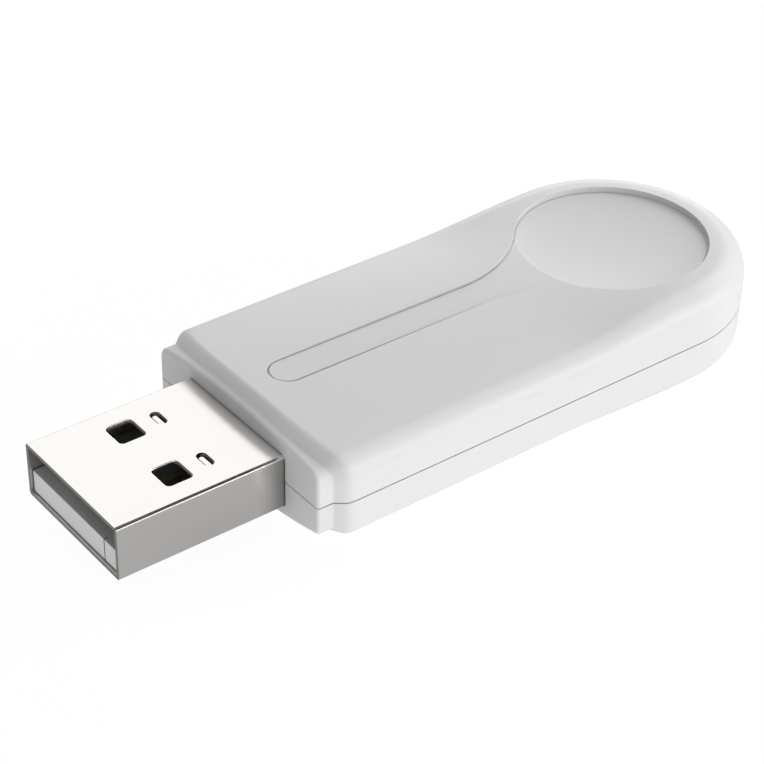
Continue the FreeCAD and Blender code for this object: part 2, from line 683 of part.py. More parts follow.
def lower_housing():
    body = new_body("lower_housing")
    outer_form(body, D.belly_height, D.belly_crown, D.belly_shoulder, D.belly_collar_shoulder,
               D.belly_tail_height, D.belly_tail_shoulder)

    flat = new_sketch(body, "resting_flat", "XY_Plane", D.seam_height)
    side = D.half_width + D.cut_margin
    box_outline(flat, "flat", -side, side, -D.cut_margin, D.tail_centre + side)
    pocket(body, "resting_cut", flat, D.belly_height, reverse=True)

    inner_space(body, D.floor_depth)
    plug_opening(body, D.plug_height / 2 + D.plug_drop)

    lip = new_sketch(body, "lip_plan", "XY_Plane")
    plan_outline(lip, D.lip_start, D.half_width - D.wall + D.lip_width, D.inner_corner)
    pad(body, "lip_plate", lip, D.lip_height, reverse=True)
    lip_inside = new_sketch(body, "lip_inner_plan", "XY_Plane", -D.lip_height)
    plan_outline(lip_inside, D.front_wall, D.half_width - D.wall, D.inner_corner)
    pocket(body, "lip_opening", lip_inside, D.lip_height + D.join_overlap, reverse=True)

    board_level = D.seam_height - board_bottom
    posts = new_sketch(body, "post_plans", "XY_Plane", board_level)
    squares(posts, "post", POSTS, D.post_side)
    pad(body, "posts", posts, D.floor_depth + D.join_overlap - board_level)
    pegs = new_sketch(body, "peg_circles", "XY_Plane", board_level + D.join_overlap)
    circles(pegs, "peg", POSTS, D.peg_radius)
    pad(body, "pegs", pegs, D.board_sheet + D.peg_height + D.join_overlap, reverse=True)
    body.Placement.Rotation = Rotation(Vector(0, 1, 0), 180)
    place(body, y=front_y, z=D.seam_height)
    return body


# Plug

def plug_shell():
    body = new_body("plug_shell")
    section = new_sketch(body, "tube_section", "XZ_Plane")
    rounded_box(section, "outside", NOWHERE, NOWHERE, D.plug_width, D.plug_height,
                D.plug_corner)
    rounded_box(section, "inside", NOWHERE, NOWHERE, D.plug_width - 2 * D.plug_sheet,
                D.plug_height - 2 * D.plug_sheet, D.plug_corner - D.plug_sheet)
    pad(body, "tube", section, tube_length, reverse=True)

    windows = new_sketch(body, "window_outlines", "XY_Plane", -D.plug_height)
    dimples = new_sketch(body, "dimple_outlines", "XY_Plane", D.plug_height / 2)
    for name, side in (("left", -1), ("right", 1)):
        rounded_box(windows, name, D.window_offset * side, D.window_start + D.window_length / 2,
                    D.window_width, D.window_length, D.window_corner)
        rounded_box(dimples, name, D.window_offset * side, D.dimple_middle,
                    D.dimple_length, D.dimple_width, D.dimple_width * 0.49)
    pocket(body, "windows", windows, D.plug_height * 2, reverse=True)
    pocket(body, "dimples", dimples, D.dimple_depth)

    legs = new_sketch(body, "leg_section", "XZ_Plane", -tube_length)
    outer, inner = D.plug_width / 2, D.plug_width / 2 - D.plug_sheet
    box_outline(legs, "left", -outer, -inner, -D.leg_bottom, D.leg_top)
    box_outline(legs, "right", inner, outer, -D.leg_bottom, D.leg_top)
    pad(body, "legs", legs, D.leg_length, reverse=True)
    place(body, y=mouth_y, z=plug_z)
    return body


CONTACTS = [
    ("contact_power", -D.power_offset, D.contact_start),
    ("contact_data_minus", -D.data_offset, D.contact_start + D.data_setback),
    ("contact_data_plus", D.data_offset, D.contact_start + D.data_setback),
    ("contact_ground", D.power_offset, D.contact_start),
]


def plug_insulator():
    body = new_body("plug_insulator")
    reach = D.plug_width / 2 - D.plug_sheet - D.tongue_gap
    low = -(D.plug_height / 2 - D.plug_sheet - D.tongue_gap)
    tongue = new_sketch(body, "tongue_section", "XZ_Plane", -D.tongue_setback)
    box_outline(tongue, "tongue", -reach, reach, low, -D.tongue_top)
    pad(body, "tongue", tongue, tube_length - D.tongue_setback, reverse=True)
    block = new_sketch(body, "block_section", "XZ_Plane", -D.core_start)
    box_outline(block, "block", -reach, reach, low, -low)
    pad(body, "block", block, tube_length - D.core_start, reverse=True)

    slit = new_sketch(body, "slit_section", "XZ_Plane")
    half = D.slit_width / 2
    box_outline(slit, "slit", D.slit_offset - half, D.slit_offset + half,
                low - D.cut_margin, D.cut_margin)
    pocket(body, "slit", slit, D.tongue_setback + D.slit_depth)

    side = D.contact_width / 2 + D.contact_clearance
    for name, x, start in CONTACTS:
        groove = new_sketch(body, name + "_groove_section", "XZ_Plane",
                            -(start - D.contact_clearance))
        box_outline(groove, "groove", x - side, x + side, contact_bottom,
                    -D.tongue_top)
        pocket(body, name + "_groove", groove, tube_length - start + D.cut_margin)
        well = new_sketch(body, name + "_well_section", "XZ_Plane",
                          -(start - D.contact_clearance))
        box_outline(well, "well", x - side, x + side,
                    contact_bottom - D.contact_hook - D.contact_clearance, -D.tongue_top)
        pocket(body, name + "_well", well, D.contact_sheet + 2 * D.contact_clearance)
    place(body, y=mouth_y, z=plug_z)
    return body


def contact(name, x, start):
    """A flat spring strip with its front end bent down and its tail on the board."""
    body = new_body(name)
    profile = new_sketch(body, "strip_profile", "YZ_Plane", -D.contact_width / 2)
    end = tube_length + D.board_gap + D.contact_tail
    bend = start + D.contact_sheet
    hook = contact_bottom - D.contact_hook
    corners = [(start, hook), (bend, hook), (bend, contact_bottom), (end, contact_bottom),
               (end, contact_top), (start, contact_top)]
    closed_outline(profile, "corner", corners)
    pad(body, "strip", profile, D.contact_width)
    place(body, x=x, y=mouth_y, z=plug_z)
    return body


# Circuit board and what is soldered to it

def circuit_board():
    body = new_body("circuit_board")
    outline = new_sketch(body, "board_plan", "XY_Plane")
    plan_outline(outline, board_front, board_half_width, D.board_corner)
    pad(body, "board", outline, D.board_sheet)
    holes = new_sketch(body, "hole_circles", "XY_Plane")
    circles(holes, "hole", POSTS, D.peg_radius + D.peg_clearance)
    pocket(body, "holes", holes, D.board_sheet, reverse=True)
    notches = new_sketch(body, "notch_outlines", "XY_Plane")
    inner = D.plug_width / 2 - D.plug_sheet - D.leg_clearance
    outer = D.plug_width / 2 + D.leg_clearance
    notch_end = D.plug_inside + D.leg_length + D.leg_clearance
    box_outline(notches, "left", -outer, -inner, D.plug_inside, notch_end)
    box_outline(notches, "right", inner, outer, D.plug_inside, notch_end)
    pocket(body, "notches", notches, D.board_sheet, reverse=True)
    place(body, y=front_y, z=board_bottom)
    return body


def block_at(name, x, y, z, width, length, height):
    """A block centred on x and y with its foot at z."""
    block = doc.addObject("Part::Box", name)
    for path, value in (("Length", width), ("Width", length), ("Height", height)):
        setattr(block, path, value.number)
        tie(block, path, value)
    place(block, x=x - width / 2, y=y - length / 2, z=z)
    return block


def group(name, pieces):
    """Joins primitives into one solid with the given name."""
    fused = doc.addObject("Part::MultiFuse", name)
    fused.Shapes = pieces
    fused.Label = name
    return fused


def on_board(piece, x, y):
    """Stands a component on the board; x and y are its middle, y from the front face."""
    place(piece, x=x, y=front_y + y, z=board_top)
    return piece


def ceramic_part(name, x, y, length, width, height):
    """A ceramic part: a body between two metal end caps, its length across the board."""
    cap = length * 0.2
    skin = width * 0.05
    middle = (length - cap) / 2
    pieces = [block_at(name + "_body", NOWHERE, NOWHERE, skin,
                       length - cap, width - 2 * skin, height - 2 * skin)]
    for side in (-1, 1):
        pieces.append(block_at(f"{name}_cap_{side + 1}", side * middle, NOWHERE, NOWHERE,
                               cap, width, height))
    return on_board(group(name, pieces), x, y)


def moulded_chip(name, x, y, width, length, height, pitch, left_leads, right_leads):
    """A moulded chip with bent leads on its two long sides."""
    pieces = [block_at(name + "_body", NOWHERE, NOWHERE, D.lead_stand,
                       width, length, height - D.lead_stand)]
    knee_height = height * 0.45
    for side, places in ((-1, left_leads), (1, right_leads)):
        for i, step in enumerate(places):
            tag = f"{name}_lead_{side + 1}{i}"
            along = step * pitch
            knee = side * (width / 2 + D.lead_reach * 0.2)
            drop = side * (width / 2 + D.lead_reach * 0.5)
            foot = side * (width / 2 + D.lead_reach * 0.75)
            pieces.append(block_at(tag + "_knee", knee, along, knee_height,
                                   D.lead_reach * 0.7, D.lead_width, D.lead_sheet))
            pieces.append(block_at(tag + "_drop", drop, along, NOWHERE,
                                   D.lead_sheet, D.lead_width, knee_height + D.lead_sheet))
            pieces.append(block_at(tag + "_foot", foot, along, NOWHERE,
                                   D.lead_reach * 0.5, D.lead_width, D.lead_sheet))
    return on_board(group(name, pieces), x, y)


def radio_chip():
    """A flat square chip without leads, with its pads under the edge."""
    half = D.radio_side / 2 - D.pad_length / 2
    pieces = [block_at("radio_body", NOWHERE, NOWHERE, D.pad_height / 2,
                       D.radio_side, D.radio_side, D.radio_height - D.pad_height / 2)]
    for i in (-1.5, -0.5, 0.5, 1.5):
        along = i * D.pad_pitch
        for side in (-1, 1):
            tag = f"radio_pad_{i + 1.5:.0f}_{side + 1}"
            pieces.append(block_at(tag + "_x", side * half, along, NOWHERE,
                                   D.pad_length, D.pad_width, D.pad_height))
            pieces.append(block_at(tag + "_y", along, side * half, NOWHERE,
                                   D.pad_width, D.pad_length, D.pad_height))
    return on_board(group("radio_chip", pieces), NOWHERE, D.shield_middle)


def shield_can():
    """A drawn tin lid over the radio chip, open underneath, with holes in its top."""
    body = new_body("shield_can")
    outline = new_sketch(body, "lid_plan", "XY_Plane")
    rounded_box(outline, "lid", NOWHERE, NOWHERE, D.shield_side, D.shield_side,
                D.shield_corner)
    pad(body, "lid", outline, D.shield_height)
    inside = new_sketch(body, "inside_plan", "XY_Plane")
    inner_side = D.shield_side - 2 * D.shield_sheet
    rounded_box(inside, "inside", NOWHERE, NOWHERE, inner_side, inner_side,
                D.shield_corner - D.shield_sheet)
    pocket(body, "inside", inside, D.shield_height - D.shield_sheet, reverse=True)
    vents = new_sketch(body, "vent_plans", "XY_Plane", D.shield_height)
    corners = [(i * D.vent_pitch, j * D.vent_pitch) for i in (-1, 1) for j in (-1, 1)]
    squares(vents, "vent", [(NOWHERE, NOWHERE)] + corners, D.vent_side)
    pocket(body, "vents", vents, 2 * D.shield_sheet)
    return on_board(body, NOWHERE, D.shield_middle)


TRIPLE = (-1, 0, 1)
OUTER_PAIR = (-1, 1)
FOUR = (-1.5, -0.5, 0.5, 1.5)
SMALL_CHIP = (D.small_chip_width, D.small_chip_length, D.small_chip_height,
              D.small_chip_pitch)
MEMORY = (D.memory_width, D.memory_length, D.memory_height, D.memory_pitch)
LARGE_CASE = (D.large_case_length, D.large_case_width, D.large_case_height)
TINY_CASE = (D.tiny_case_length, D.tiny_case_width, D.tiny_case_height)
CRYSTAL = (D.crystal_length, D.crystal_width, D.crystal_height)
INDUCTOR = (D.inductor_length, D.inductor_width, D.inductor_height)
FILTER = (D.filter_length, D.filter_width, D.large_case_height)
ANTENNA = (D.antenna_length, D.antenna_width, D.antenna_height)

far_column = board_half_width - D.far_inset
side_column = board_half_width - D.side_inset
entry_y = board_front + D.entry_row
supply_y = board_front + D.supply_row
data_y = board_front + D.data_row
crystal_y = board_front + D.crystal_row
memory_y = D.shield_middle + D.memory_row
side_y = D.shield_middle + D.side_row

sub_parts = [
    upper_housing(),
    lower_housing(),
    plug_shell(),
    plug_insulator(),
]
sub_parts += [contact(name, x, start) for name, x, start in CONTACTS]
sub_parts += [
    circuit_board(),
    shield_can(),
    radio_chip(),
    moulded_chip("surge_protector", NOWHERE, supply_y, *SMALL_CHIP, TRIPLE, TRIPLE),
    moulded_chip("voltage_regulator", -far_column, supply_y, *SMALL_CHIP, TRIPLE, OUTER_PAIR),
    moulded_chip("memory_chip", NOWHERE, memory_y, *MEMORY, FOUR, FOUR),
    ceramic_part("ferrite_bead", -far_column, entry_y, *LARGE_CASE),
    ceramic_part("input_capacitor", far_column, entry_y, *LARGE_CASE),
    ceramic_part("output_capacitor", -far_column, data_y, *LARGE_CASE),
    ceramic_part("data_resistor_1", -D.near_column, data_y, *TINY_CASE),
    ceramic_part("data_resistor_2", D.near_column, data_y, *TINY_CASE),
    ceramic_part("crystal", far_column, crystal_y, *CRYSTAL),
    ceramic_part("power_inductor", -side_column, side_y, *INDUCTOR),
    ceramic_part("radio_capacitor_1", side_column, side_y, *TINY_CASE),
    ceramic_part("radio_capacitor_2", side_column, side_y + D.side_pitch, *TINY_CASE),
    ceramic_part("memory_capacitor", side_column, side_y + 2 * D.side_pitch, *TINY_CASE),
    ceramic_part("antenna_filter", NOWHERE, D.tail_centre - D.filter_row, *FILTER),
    ceramic_part("matching_inductor", NOWHERE, D.tail_centre + D.matching_row, *TINY_CASE),
    ceramic_part("antenna", NOWHERE, D.tail_centre + D.antenna_row, *ANTENNA),
]

doc.recompute()

# Checks before anything is written
problems = []
for item in doc.Objects:
    if any(word in ("Invalid", "Error") for word in item.State):
        problems.append(f"{item.Name} is {item.State}")
for part in sub_parts:
    shape = part.Shape
    if shape.isNull() or not shape.isValid() or len(shape.Solids) != 1:
        problems.append(f"{part.Label} has no single sound solid")
if problems:
    raise RuntimeError("; ".join(problems))

os.makedirs("parts", exist_ok=True)
for part in sub_parts:
    part.Shape.exportStep(os.path.join("parts", part.Label + ".step"))
    box_of = part.Shape.BoundBox
    print(f"{part.Label:20s} {part.Shape.Volume:9.2f} mm3  "
          f"x {box_of.XMin:7.2f} {box_of.XMax:7.2f}  y {box_of.YMin:7.2f} {box_of.YMax:7.2f}  "
          f"z {box_of.ZMin:6.2f} {box_of.ZMax:6.2f}")
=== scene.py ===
# %% [markdown]
# # A small wireless dongle, dressed for the studio
# The solids of the dongle are already packed, in metres, with the plug's mouth towards -Y
# and the round tail towards +Y. This lesson gives them their finish: satin white plastic,
# rolled steel, moulded plastic and a populated board. The two halves of the housing and the
# plug's tube, which the camera sees from close by, are built again with finer edges. Nothing
# changes size here.

# %% Load the frame
import json
import math

import bmesh
import bpy
from mathutils import Matrix, Vector


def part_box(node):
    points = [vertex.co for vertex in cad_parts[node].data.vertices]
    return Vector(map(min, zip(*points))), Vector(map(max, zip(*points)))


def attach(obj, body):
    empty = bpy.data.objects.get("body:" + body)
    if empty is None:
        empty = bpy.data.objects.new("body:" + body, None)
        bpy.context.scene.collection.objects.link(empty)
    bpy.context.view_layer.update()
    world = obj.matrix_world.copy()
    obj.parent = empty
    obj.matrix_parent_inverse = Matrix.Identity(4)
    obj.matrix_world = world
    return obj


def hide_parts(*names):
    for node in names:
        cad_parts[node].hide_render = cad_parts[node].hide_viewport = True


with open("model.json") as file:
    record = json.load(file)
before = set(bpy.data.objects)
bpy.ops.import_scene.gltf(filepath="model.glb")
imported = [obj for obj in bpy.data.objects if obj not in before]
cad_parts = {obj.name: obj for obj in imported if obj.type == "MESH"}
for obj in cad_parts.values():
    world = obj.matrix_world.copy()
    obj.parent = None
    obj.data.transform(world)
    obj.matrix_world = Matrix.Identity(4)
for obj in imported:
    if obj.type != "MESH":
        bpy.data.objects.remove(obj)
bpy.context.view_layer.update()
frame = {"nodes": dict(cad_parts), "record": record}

NODES = frame["nodes"]
print("nodes:", len(NODES))

# %% [markdown]
# ## The camera
# The photograph was taken with a long lens from the front right, about 35 degrees above
# the table. The steel tube of the plug has a standard size, so its corners and the outline
# of the housing give the place and turn of the camera exactly.

# %% Place the camera
CAMERA_PLACE = Vector((0.1046371, -0.0858555, 0.0974802))
CAMERA_RIGHT = Vector((0.6085307, 0.7932912, 0.0194790))
CAMERA_DOWN = Vector((0.4656016, -0.3370684, -0.8182910))
CAMERA_AHEAD = Vector((-0.6425773, 0.5070246, -0.5744741))
LENS_LENGTH = 101.955
SENSOR_WIDTH = 36.0
NEAR_CLIP = 0.01
FAR_CLIP = 20.0

lens = bpy.data.cameras.new("studio_lens")
lens.sensor_width = SENSOR_WIDTH
lens.lens = LENS_LENGTH
lens.clip_start = NEAR_CLIP
lens.clip_end = FAR_CLIP
camera = bpy.data.objects.new("studio_camera", lens)
bpy.context.scene.collection.objects.link(camera)
turn = Matrix((CAMERA_RIGHT, -CAMERA_DOWN, -CAMERA_AHEAD)).transposed()
camera.matrix_world = Matrix.Translation(CAMERA_PLACE) @ turn.to_4x4()
bpy.context.scene.camera = camera
print("camera height:", round(CAMERA_PLACE.z, 4))

# %% [markdown]
# ## Small tools for node materials
# Every finish below is a Principled shader fed by a few texture nodes. Helpers keep the cells
# short: the first start a material, add a node and join two sockets, and the next add the
# nodes that come back most often, with their sockets joined.

# %% Material helpers
def new_material(name):
    material = bpy.data.materials.new(name)
    material.use_nodes = True
    tree = material.node_tree
    return material, tree, tree.nodes["Principled BSDF"]


def add(tree, kind, **settings):
    node = tree.nodes.new(kind)
    for key, value in settings.items():
        setattr(node, key, value)
    return node


def join(tree, source, target):
    """Feeds a socket from another one, or sets it to a plain number or colour."""
    if isinstance(source, bpy.types.NodeSocket):
        tree.links.new(source, target)
    elif target.type == "RGBA":
        target.default_value = (*source, 1.0)
    else:
        target.default_value = source

# %% Nodes that come back often
MIX_SOCKETS = {"FLOAT": (0, 2, 3, 0), "RGBA": (0, 6, 7, 2)}


def reckon(tree, operation, *values, kind="ShaderNodeMath", result=0):
    """One step of arithmetic on sockets or plain numbers; returns the socket of the result."""
    node = add(tree, kind, operation=operation)
    for value, target in zip(values, node.inputs):
        join(tree, value, target)
    return node.outputs[result]


def remap(tree, value, start, end, low=0.0, high=1.0, ease="LINEAR"):
    """Runs from low to high while the given value runs from start to end."""
    node = add(tree, "ShaderNodeMapRange", interpolation_type=ease)
    join(tree, value, node.inputs["Value"])
    for name, number in (("From Min", start), ("From Max", end), ("To Min", low), ("To Max", high)):
        join(tree, number, node.inputs[name])
    return node.outputs["Result"]


def mixed(tree, share, first, second, kind="RGBA"):
    """Goes from the first colour or value to the second as the share goes from 0 to 1."""
    mix = add(tree, "ShaderNodeMix", data_type=kind)
    *targets, result = MIX_SOCKETS[kind]
    for value, index in zip((share, first, second), targets):
        join(tree, value, mix.inputs[index])
    return mix.outputs[result]


def axes(tree, vector):
    """The three parts of a place or a direction, by the names X, Y and Z."""
    parts = add(tree, "ShaderNodeSeparateXYZ")
    join(tree, vector, parts.inputs[0])
    return parts.outputs

# %% [markdown]
# ## Effects that several finishes share
# Grain, rolling lines and weave come back on more than one material, so each is a node group,
# built once and placed with its own sizes. All of them are worked out from object coordinates.
# A painted texture could show the same, but it would have to be unwrapped, and it blurs when
# the camera comes close. Fine grain is the slight unevenness of a moulded or matt surface: a
# noise, given out as a mask and as a bumped normal.

# %% Fine grain
def new_group(name, inputs):
    group = bpy.data.node_groups.new(name, "ShaderNodeTree")
    for label, value in inputs:
        socket = group.interface.new_socket(label, in_out="INPUT", socket_type="NodeSocketFloat")
        socket.default_value = value
    group.interface.new_socket("Mask", in_out="OUTPUT", socket_type="NodeSocketFloat")
    group.interface.new_socket("Normal", in_out="OUTPUT", socket_type="NodeSocketVector")
    return group, add(group, "NodeGroupInput"), add(group, "NodeGroupOutput")


def mask_and_normal(group, inlet, outlet, mask):
    """Sends a mask out of a group, and out again as a bump of the group's depth."""
    bump = add(group, "ShaderNodeBump")
    join(group, mask, bump.inputs["Height"])
    join(group, inlet.outputs["Depth"], bump.inputs["Distance"])
    join(group, mask, outlet.inputs["Mask"])
    join(group, bump.outputs["Normal"], outlet.inputs["Normal"])


def make_fine_grain():
    group, inlet, outlet = new_group("fine_grain", (("Size", 0.0002), ("Depth", 0.000002),
                                                    ("Detail", 2.0)))
    place = add(group, "ShaderNodeTexCoord")
    noise = add(group, "ShaderNodeTexNoise")
    join(group, place.outputs["Object"], noise.inputs["Vector"])
    join(group, reckon(group, "DIVIDE", 1.0, inlet.outputs["Size"]), noise.inputs["Scale"])
    join(group, inlet.outputs["Detail"], noise.inputs["Detail"])
    mask_and_normal(group, inlet, outlet, noise.outputs["Fac"])
    return group


FINE_GRAIN = make_fine_grain()
print("group made:", FINE_GRAIN.name)

# %% [markdown]
# Sheet metal keeps fine lines from the rollers, all along one direction, here along the plug.
# The group stretches a noise that way: short steps across, long ones along. Ruled stripes
# would be simpler, but they look drawn, because real lines start and end anywhere.

# %% Rolling lines
def make_rolling_lines():
    group, inlet, outlet = new_group("rolling_lines", (("Width", 0.00004), ("Length", 0.003),
                                                       ("Depth", 0.0000005)))
    place = add(group, "ShaderNodeTexCoord")
    steps = add(group, "ShaderNodeCombineXYZ")
    for axis, size in (("X", "Width"), ("Y", "Length"), ("Z", "Width")):
        join(group, inlet.outputs[size], steps.inputs[axis])
    stretched = reckon(group, "DIVIDE", place.outputs["Object"], steps.outputs["Vector"],
                       kind="ShaderNodeVectorMath")
    noise = add(group, "ShaderNodeTexNoise")
    noise.inputs["Scale"].default_value = 1.0
    join(group, stretched, noise.inputs["Vector"])
    mask_and_normal(group, inlet, outlet, noise.outputs["Fac"])
    return group


ROLLING_LINES = make_rolling_lines()
print("group made:", ROLLING_LINES.name)

# %% [markdown]
# The board is woven glass cloth under a green film. Two crossed waves give the over and under
# of the cloth, which the film follows faintly. Threads could be modelled one by one, but at
# half a millimetre they are only seen as a check.

# %% Weave
def make_weave():
    group, inlet, outlet = new_group("weave", (("Pitch", 0.0004), ("Depth", 0.000004)))
    place = add(group, "ShaderNodeTexCoord")
    turns = reckon(group, "DIVIDE", math.tau, inlet.outputs["Pitch"])
    scaled = add(group, "ShaderNodeVectorMath", operation="SCALE")
    join(group, place.outputs["Object"], scaled.inputs[0])
    join(group, turns, scaled.inputs["Scale"])
    along = axes(group, scaled.outputs["Vector"])
    waves = [reckon(group, "SINE", along[axis]) for axis in ("X", "Y")]
    crossed = reckon(group, "MULTIPLY", *waves)
    mask_and_normal(group, inlet, outlet, reckon(group, "MULTIPLY_ADD", crossed, 0.5, 0.5))
    return group


WEAVE = make_weave()
print("group made:", WEAVE.name)

# %% Use a group in a material
MASK_BOUNDS = (0.3, 0.7)


def effect(tree, group, **sizes):
    """Places an effect with its own sizes, such as Size=0.0002."""
    node = add(tree, "ShaderNodeGroup", node_tree=group)
    for name, value in sizes.items():
        node.inputs[name].default_value = value
    return node


def wander(tree, mask, low, high):
    """Lets a value wander between two bounds as the mask runs from dark to light."""
    return remap(tree, mask, *MASK_BOUNDS, low, high)


def drift(tree, mask, colour, width):
    """Lets a colour drift a little to both sides of itself."""
    return mixed(tree, mask, tuple(part - width for part in colour),
                 tuple(part + width for part in colour))


def dress(tree, shader, colour, roughness, normal):
    """Feeds the three sockets of a finish that change over its surface."""
    join(tree, colour, shader.inputs["Base Color"])
    join(tree, roughness, shader.inputs["Roughness"])
    join(tree, normal, shader.inputs["Normal"])

# %% [markdown]
# ## White plastic
# The housing is moulded in satin white ABS. The mould is spark eroded, which leaves a grain of
# a tenth of a millimetre, and the sheen wanders a little where the plastic cooled unevenly.
# One shader with a white base and a middling roughness does it, because the plastic is opaque
# and its look comes from the grain and the soft gloss.

# %% Mould the white plastic
CLOUD_SIZE = 0.004
CLOUD_DRIFT = 0.008
PORE_DEPTH = 0.000002
PORE_DETAIL = 3.0
SATIN_SHEEN = (0.38, 0.47)


def white_plastic(name, grey, grain):
    material, tree, shader = new_material(name)
    clouds = effect(tree, FINE_GRAIN, Size=CLOUD_SIZE, Depth=0.0)
    pores = effect(tree, FINE_GRAIN, Size=grain, Depth=PORE_DEPTH, Detail=PORE_DETAIL)
    dress(tree, shader, drift(tree, clouds.outputs["Mask"], (grey,) * 3, CLOUD_DRIFT),
          wander(tree, pores.outputs["Mask"], *SATIN_SHEEN), pores.outputs["Normal"])
    return material

# %% [markdown]
# ## Sheet metal
# The plug is bent from nickel plated steel. It mirrors what stands round it, a little blurred,
# and it is a touch warmer than pure grey. The lines of the rollers run along it. Gold plated
# contacts and the tinned shield are sheet as well, so one recipe serves them, with a colour and
# two bounds of roughness.

# %% Roll the sheet metal
NICKEL = (0.97, 0.945, 0.925)
GOLD = (0.56, 0.47, 0.25)
TIN = (0.72, 0.72, 0.71)
NICKEL_SHEEN = (0.12, 0.2)
GOLD_SHEEN = (0.22, 0.34)
TIN_SHEEN = (0.25, 0.42)
PATCH_SIZE = 0.003
PATCH_DRIFT = 0.01


def sheet_metal(name, colour, sheen):
    material, tree, shader = new_material(name)
    shader.inputs["Metallic"].default_value = 1.0
    lines = effect(tree, ROLLING_LINES, Width=0.00005, Length=0.004, Depth=0.0000004)
    patches = effect(tree, FINE_GRAIN, Size=PATCH_SIZE, Depth=0.0)
    dress(tree, shader, drift(tree, patches.outputs["Mask"], colour, PATCH_DRIFT),
          wander(tree, lines.outputs["Mask"], *sheen), lines.outputs["Normal"])
    return material

# %% [markdown]
# Where the plug goes into the housing, the steel is painted dull and dark over a band of two
# millimetres that starts a little earlier on the narrow sides: a painted reflection of the
# housing's shaded front face and painted shade at the joint. The bends between the sides get
# less of it and keep most of their polish. The cut edges of the sheet, which face the mouth,
# have no plating at all, and the inside of the tube is not polished either and is painted
# darker as painted shade. These places could be painted by hand on an unwrapped sheet. Three
# masks find them without that, from the distance to the mouth and from the way the face
# points, and the darkest of them turns the polished colour and sheen to the dull ones.

# %% Masks for the bare places and the painted shade
# The band paints a reflection of the housing's shaded front and the shade at the joint.
REFLECTION_SHADE_BAND = (0.0121, 0.0142)  # where it starts and is full, in metres from the mouth
SIDE_BAND = 0.0008  # how much earlier that is on the narrow sides
BEND_SLANT = (0.02, 0.15)  # from a flat side to a bend
BEND_SHARE = 0.25  # how much of the painted reflection and shade a bend gets
CUT_FACING = (-0.35, -0.75)
INSIDE_FACING = (0.0, -0.001)
# How far the inside of the tube goes towards the dull colour, as painted shade.
INSIDE_SHADE_SHARE = 0.6


def reflection_shade_band_mask(tree, place_y, facing_x, mouth_y):
    """Painted reflection and shade: 0 on the polished sheet, 1 at the housing, less on a bend
    between sides.
    """
    sideways = reckon(tree, "ABSOLUTE", facing_x)
    shifted = reckon(tree, "MULTIPLY_ADD", sideways, SIDE_BAND, place_y)
    inwards = remap(tree, shifted, mouth_y + REFLECTION_SHADE_BAND[0], mouth_y + REFLECTION_SHADE_BAND[1],
                    ease="SMOOTHSTEP")
    slant = reckon(tree, "PINGPONG", sideways, 0.5)
    return reckon(tree, "MULTIPLY", inwards, remap(tree, slant, *BEND_SLANT, 1.0, BEND_SHARE))


def cut_mask(tree, facing_y):
    """1 on faces that look out of the mouth."""
    return remap(tree, facing_y, *CUT_FACING)


def inside_shade_mask(tree, place, facing, middle_z):
    """Painted shade inside the tube: above 0 where a face looks towards its long middle line."""
    centred = reckon(tree, "SUBTRACT", place, (0, 0, middle_z), kind="ShaderNodeVectorMath")
    level = reckon(tree, "MULTIPLY", centred, (1, 0, 1), kind="ShaderNodeVectorMath")
    outwards = reckon(tree, "DOT_PRODUCT", level, facing, kind="ShaderNodeVectorMath",
                      result="Value")
    return remap(tree, outwards, *INSIDE_FACING, 0.0, INSIDE_SHADE_SHARE)


def darkest(tree, masks):
    result = masks[0]
    for mask in masks[1:]:
        result = reckon(tree, "MAXIMUM", result, mask)
    return result

# %% Dull the steel and paint its shade in those places
# Painted shade and reflection take this colour, and so do the bare cut edges.
BARE_AND_SHADED_COLOUR = (0.41, 0.4, 0.39)
DULL_ROUGHNESS = 0.6


def plug_steel():
    material = sheet_metal("rolled_steel", NICKEL, NICKEL_SHEEN)
    tree = material.node_tree
    shader = tree.nodes["Principled BSDF"]
    low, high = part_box("plug_shell")
    coordinates = add(tree, "ShaderNodeTexCoord").outputs
    place, facing = coordinates["Object"], coordinates["Normal"]
    facing_axes = axes(tree, facing)
    bare_and_shaded = darkest(tree, (reflection_shade_band_mask(tree, axes(tree, place)["Y"], facing_axes["X"], low.y),
                          cut_mask(tree, facing_axes["Y"]),
                          inside_shade_mask(tree, place, facing, (low.z + high.z) / 2)))
    for name, bare, kind in (("Base Color", BARE_AND_SHADED_COLOUR, "RGBA"),
                             ("Roughness", DULL_ROUGHNESS, "FLOAT")):
        polished = shader.inputs[name].links[0].from_socket
        join(tree, mixed(tree, bare_and_shaded, polished, bare, kind), shader.inputs[name])
    return material

# %% [markdown]
# ## Tongue
# The plastic core of the plug is pale at its end. Its top, which carries the contacts, lies
# deep in the tube, and its shade is painted into the colour as a dark grey that falls off
# inwards; the walls of the narrow slit in its end get painted shade as well. The dark could be
# left to the lamps alone, but so small a mouth catches too much of them. So the painted shade
# follows the way the face points and, on the top, the distance from the mouth.

# %% Shade the tongue
TONGUE_END = (0.88, 0.88, 0.87)
TONGUE_SLIT_SHADE = (0.35, 0.35, 0.35)
TONGUE_TOP_SHADE = ((0.72, 0.72, 0.72), (0.21, 0.21, 0.205))
TONGUE_SHADE_FADE = 0.005
TONGUE_GRAIN = 0.0001
TONGUE_SHEEN = (0.35, 0.5)
TOP_FACING = (0.4, 0.8)


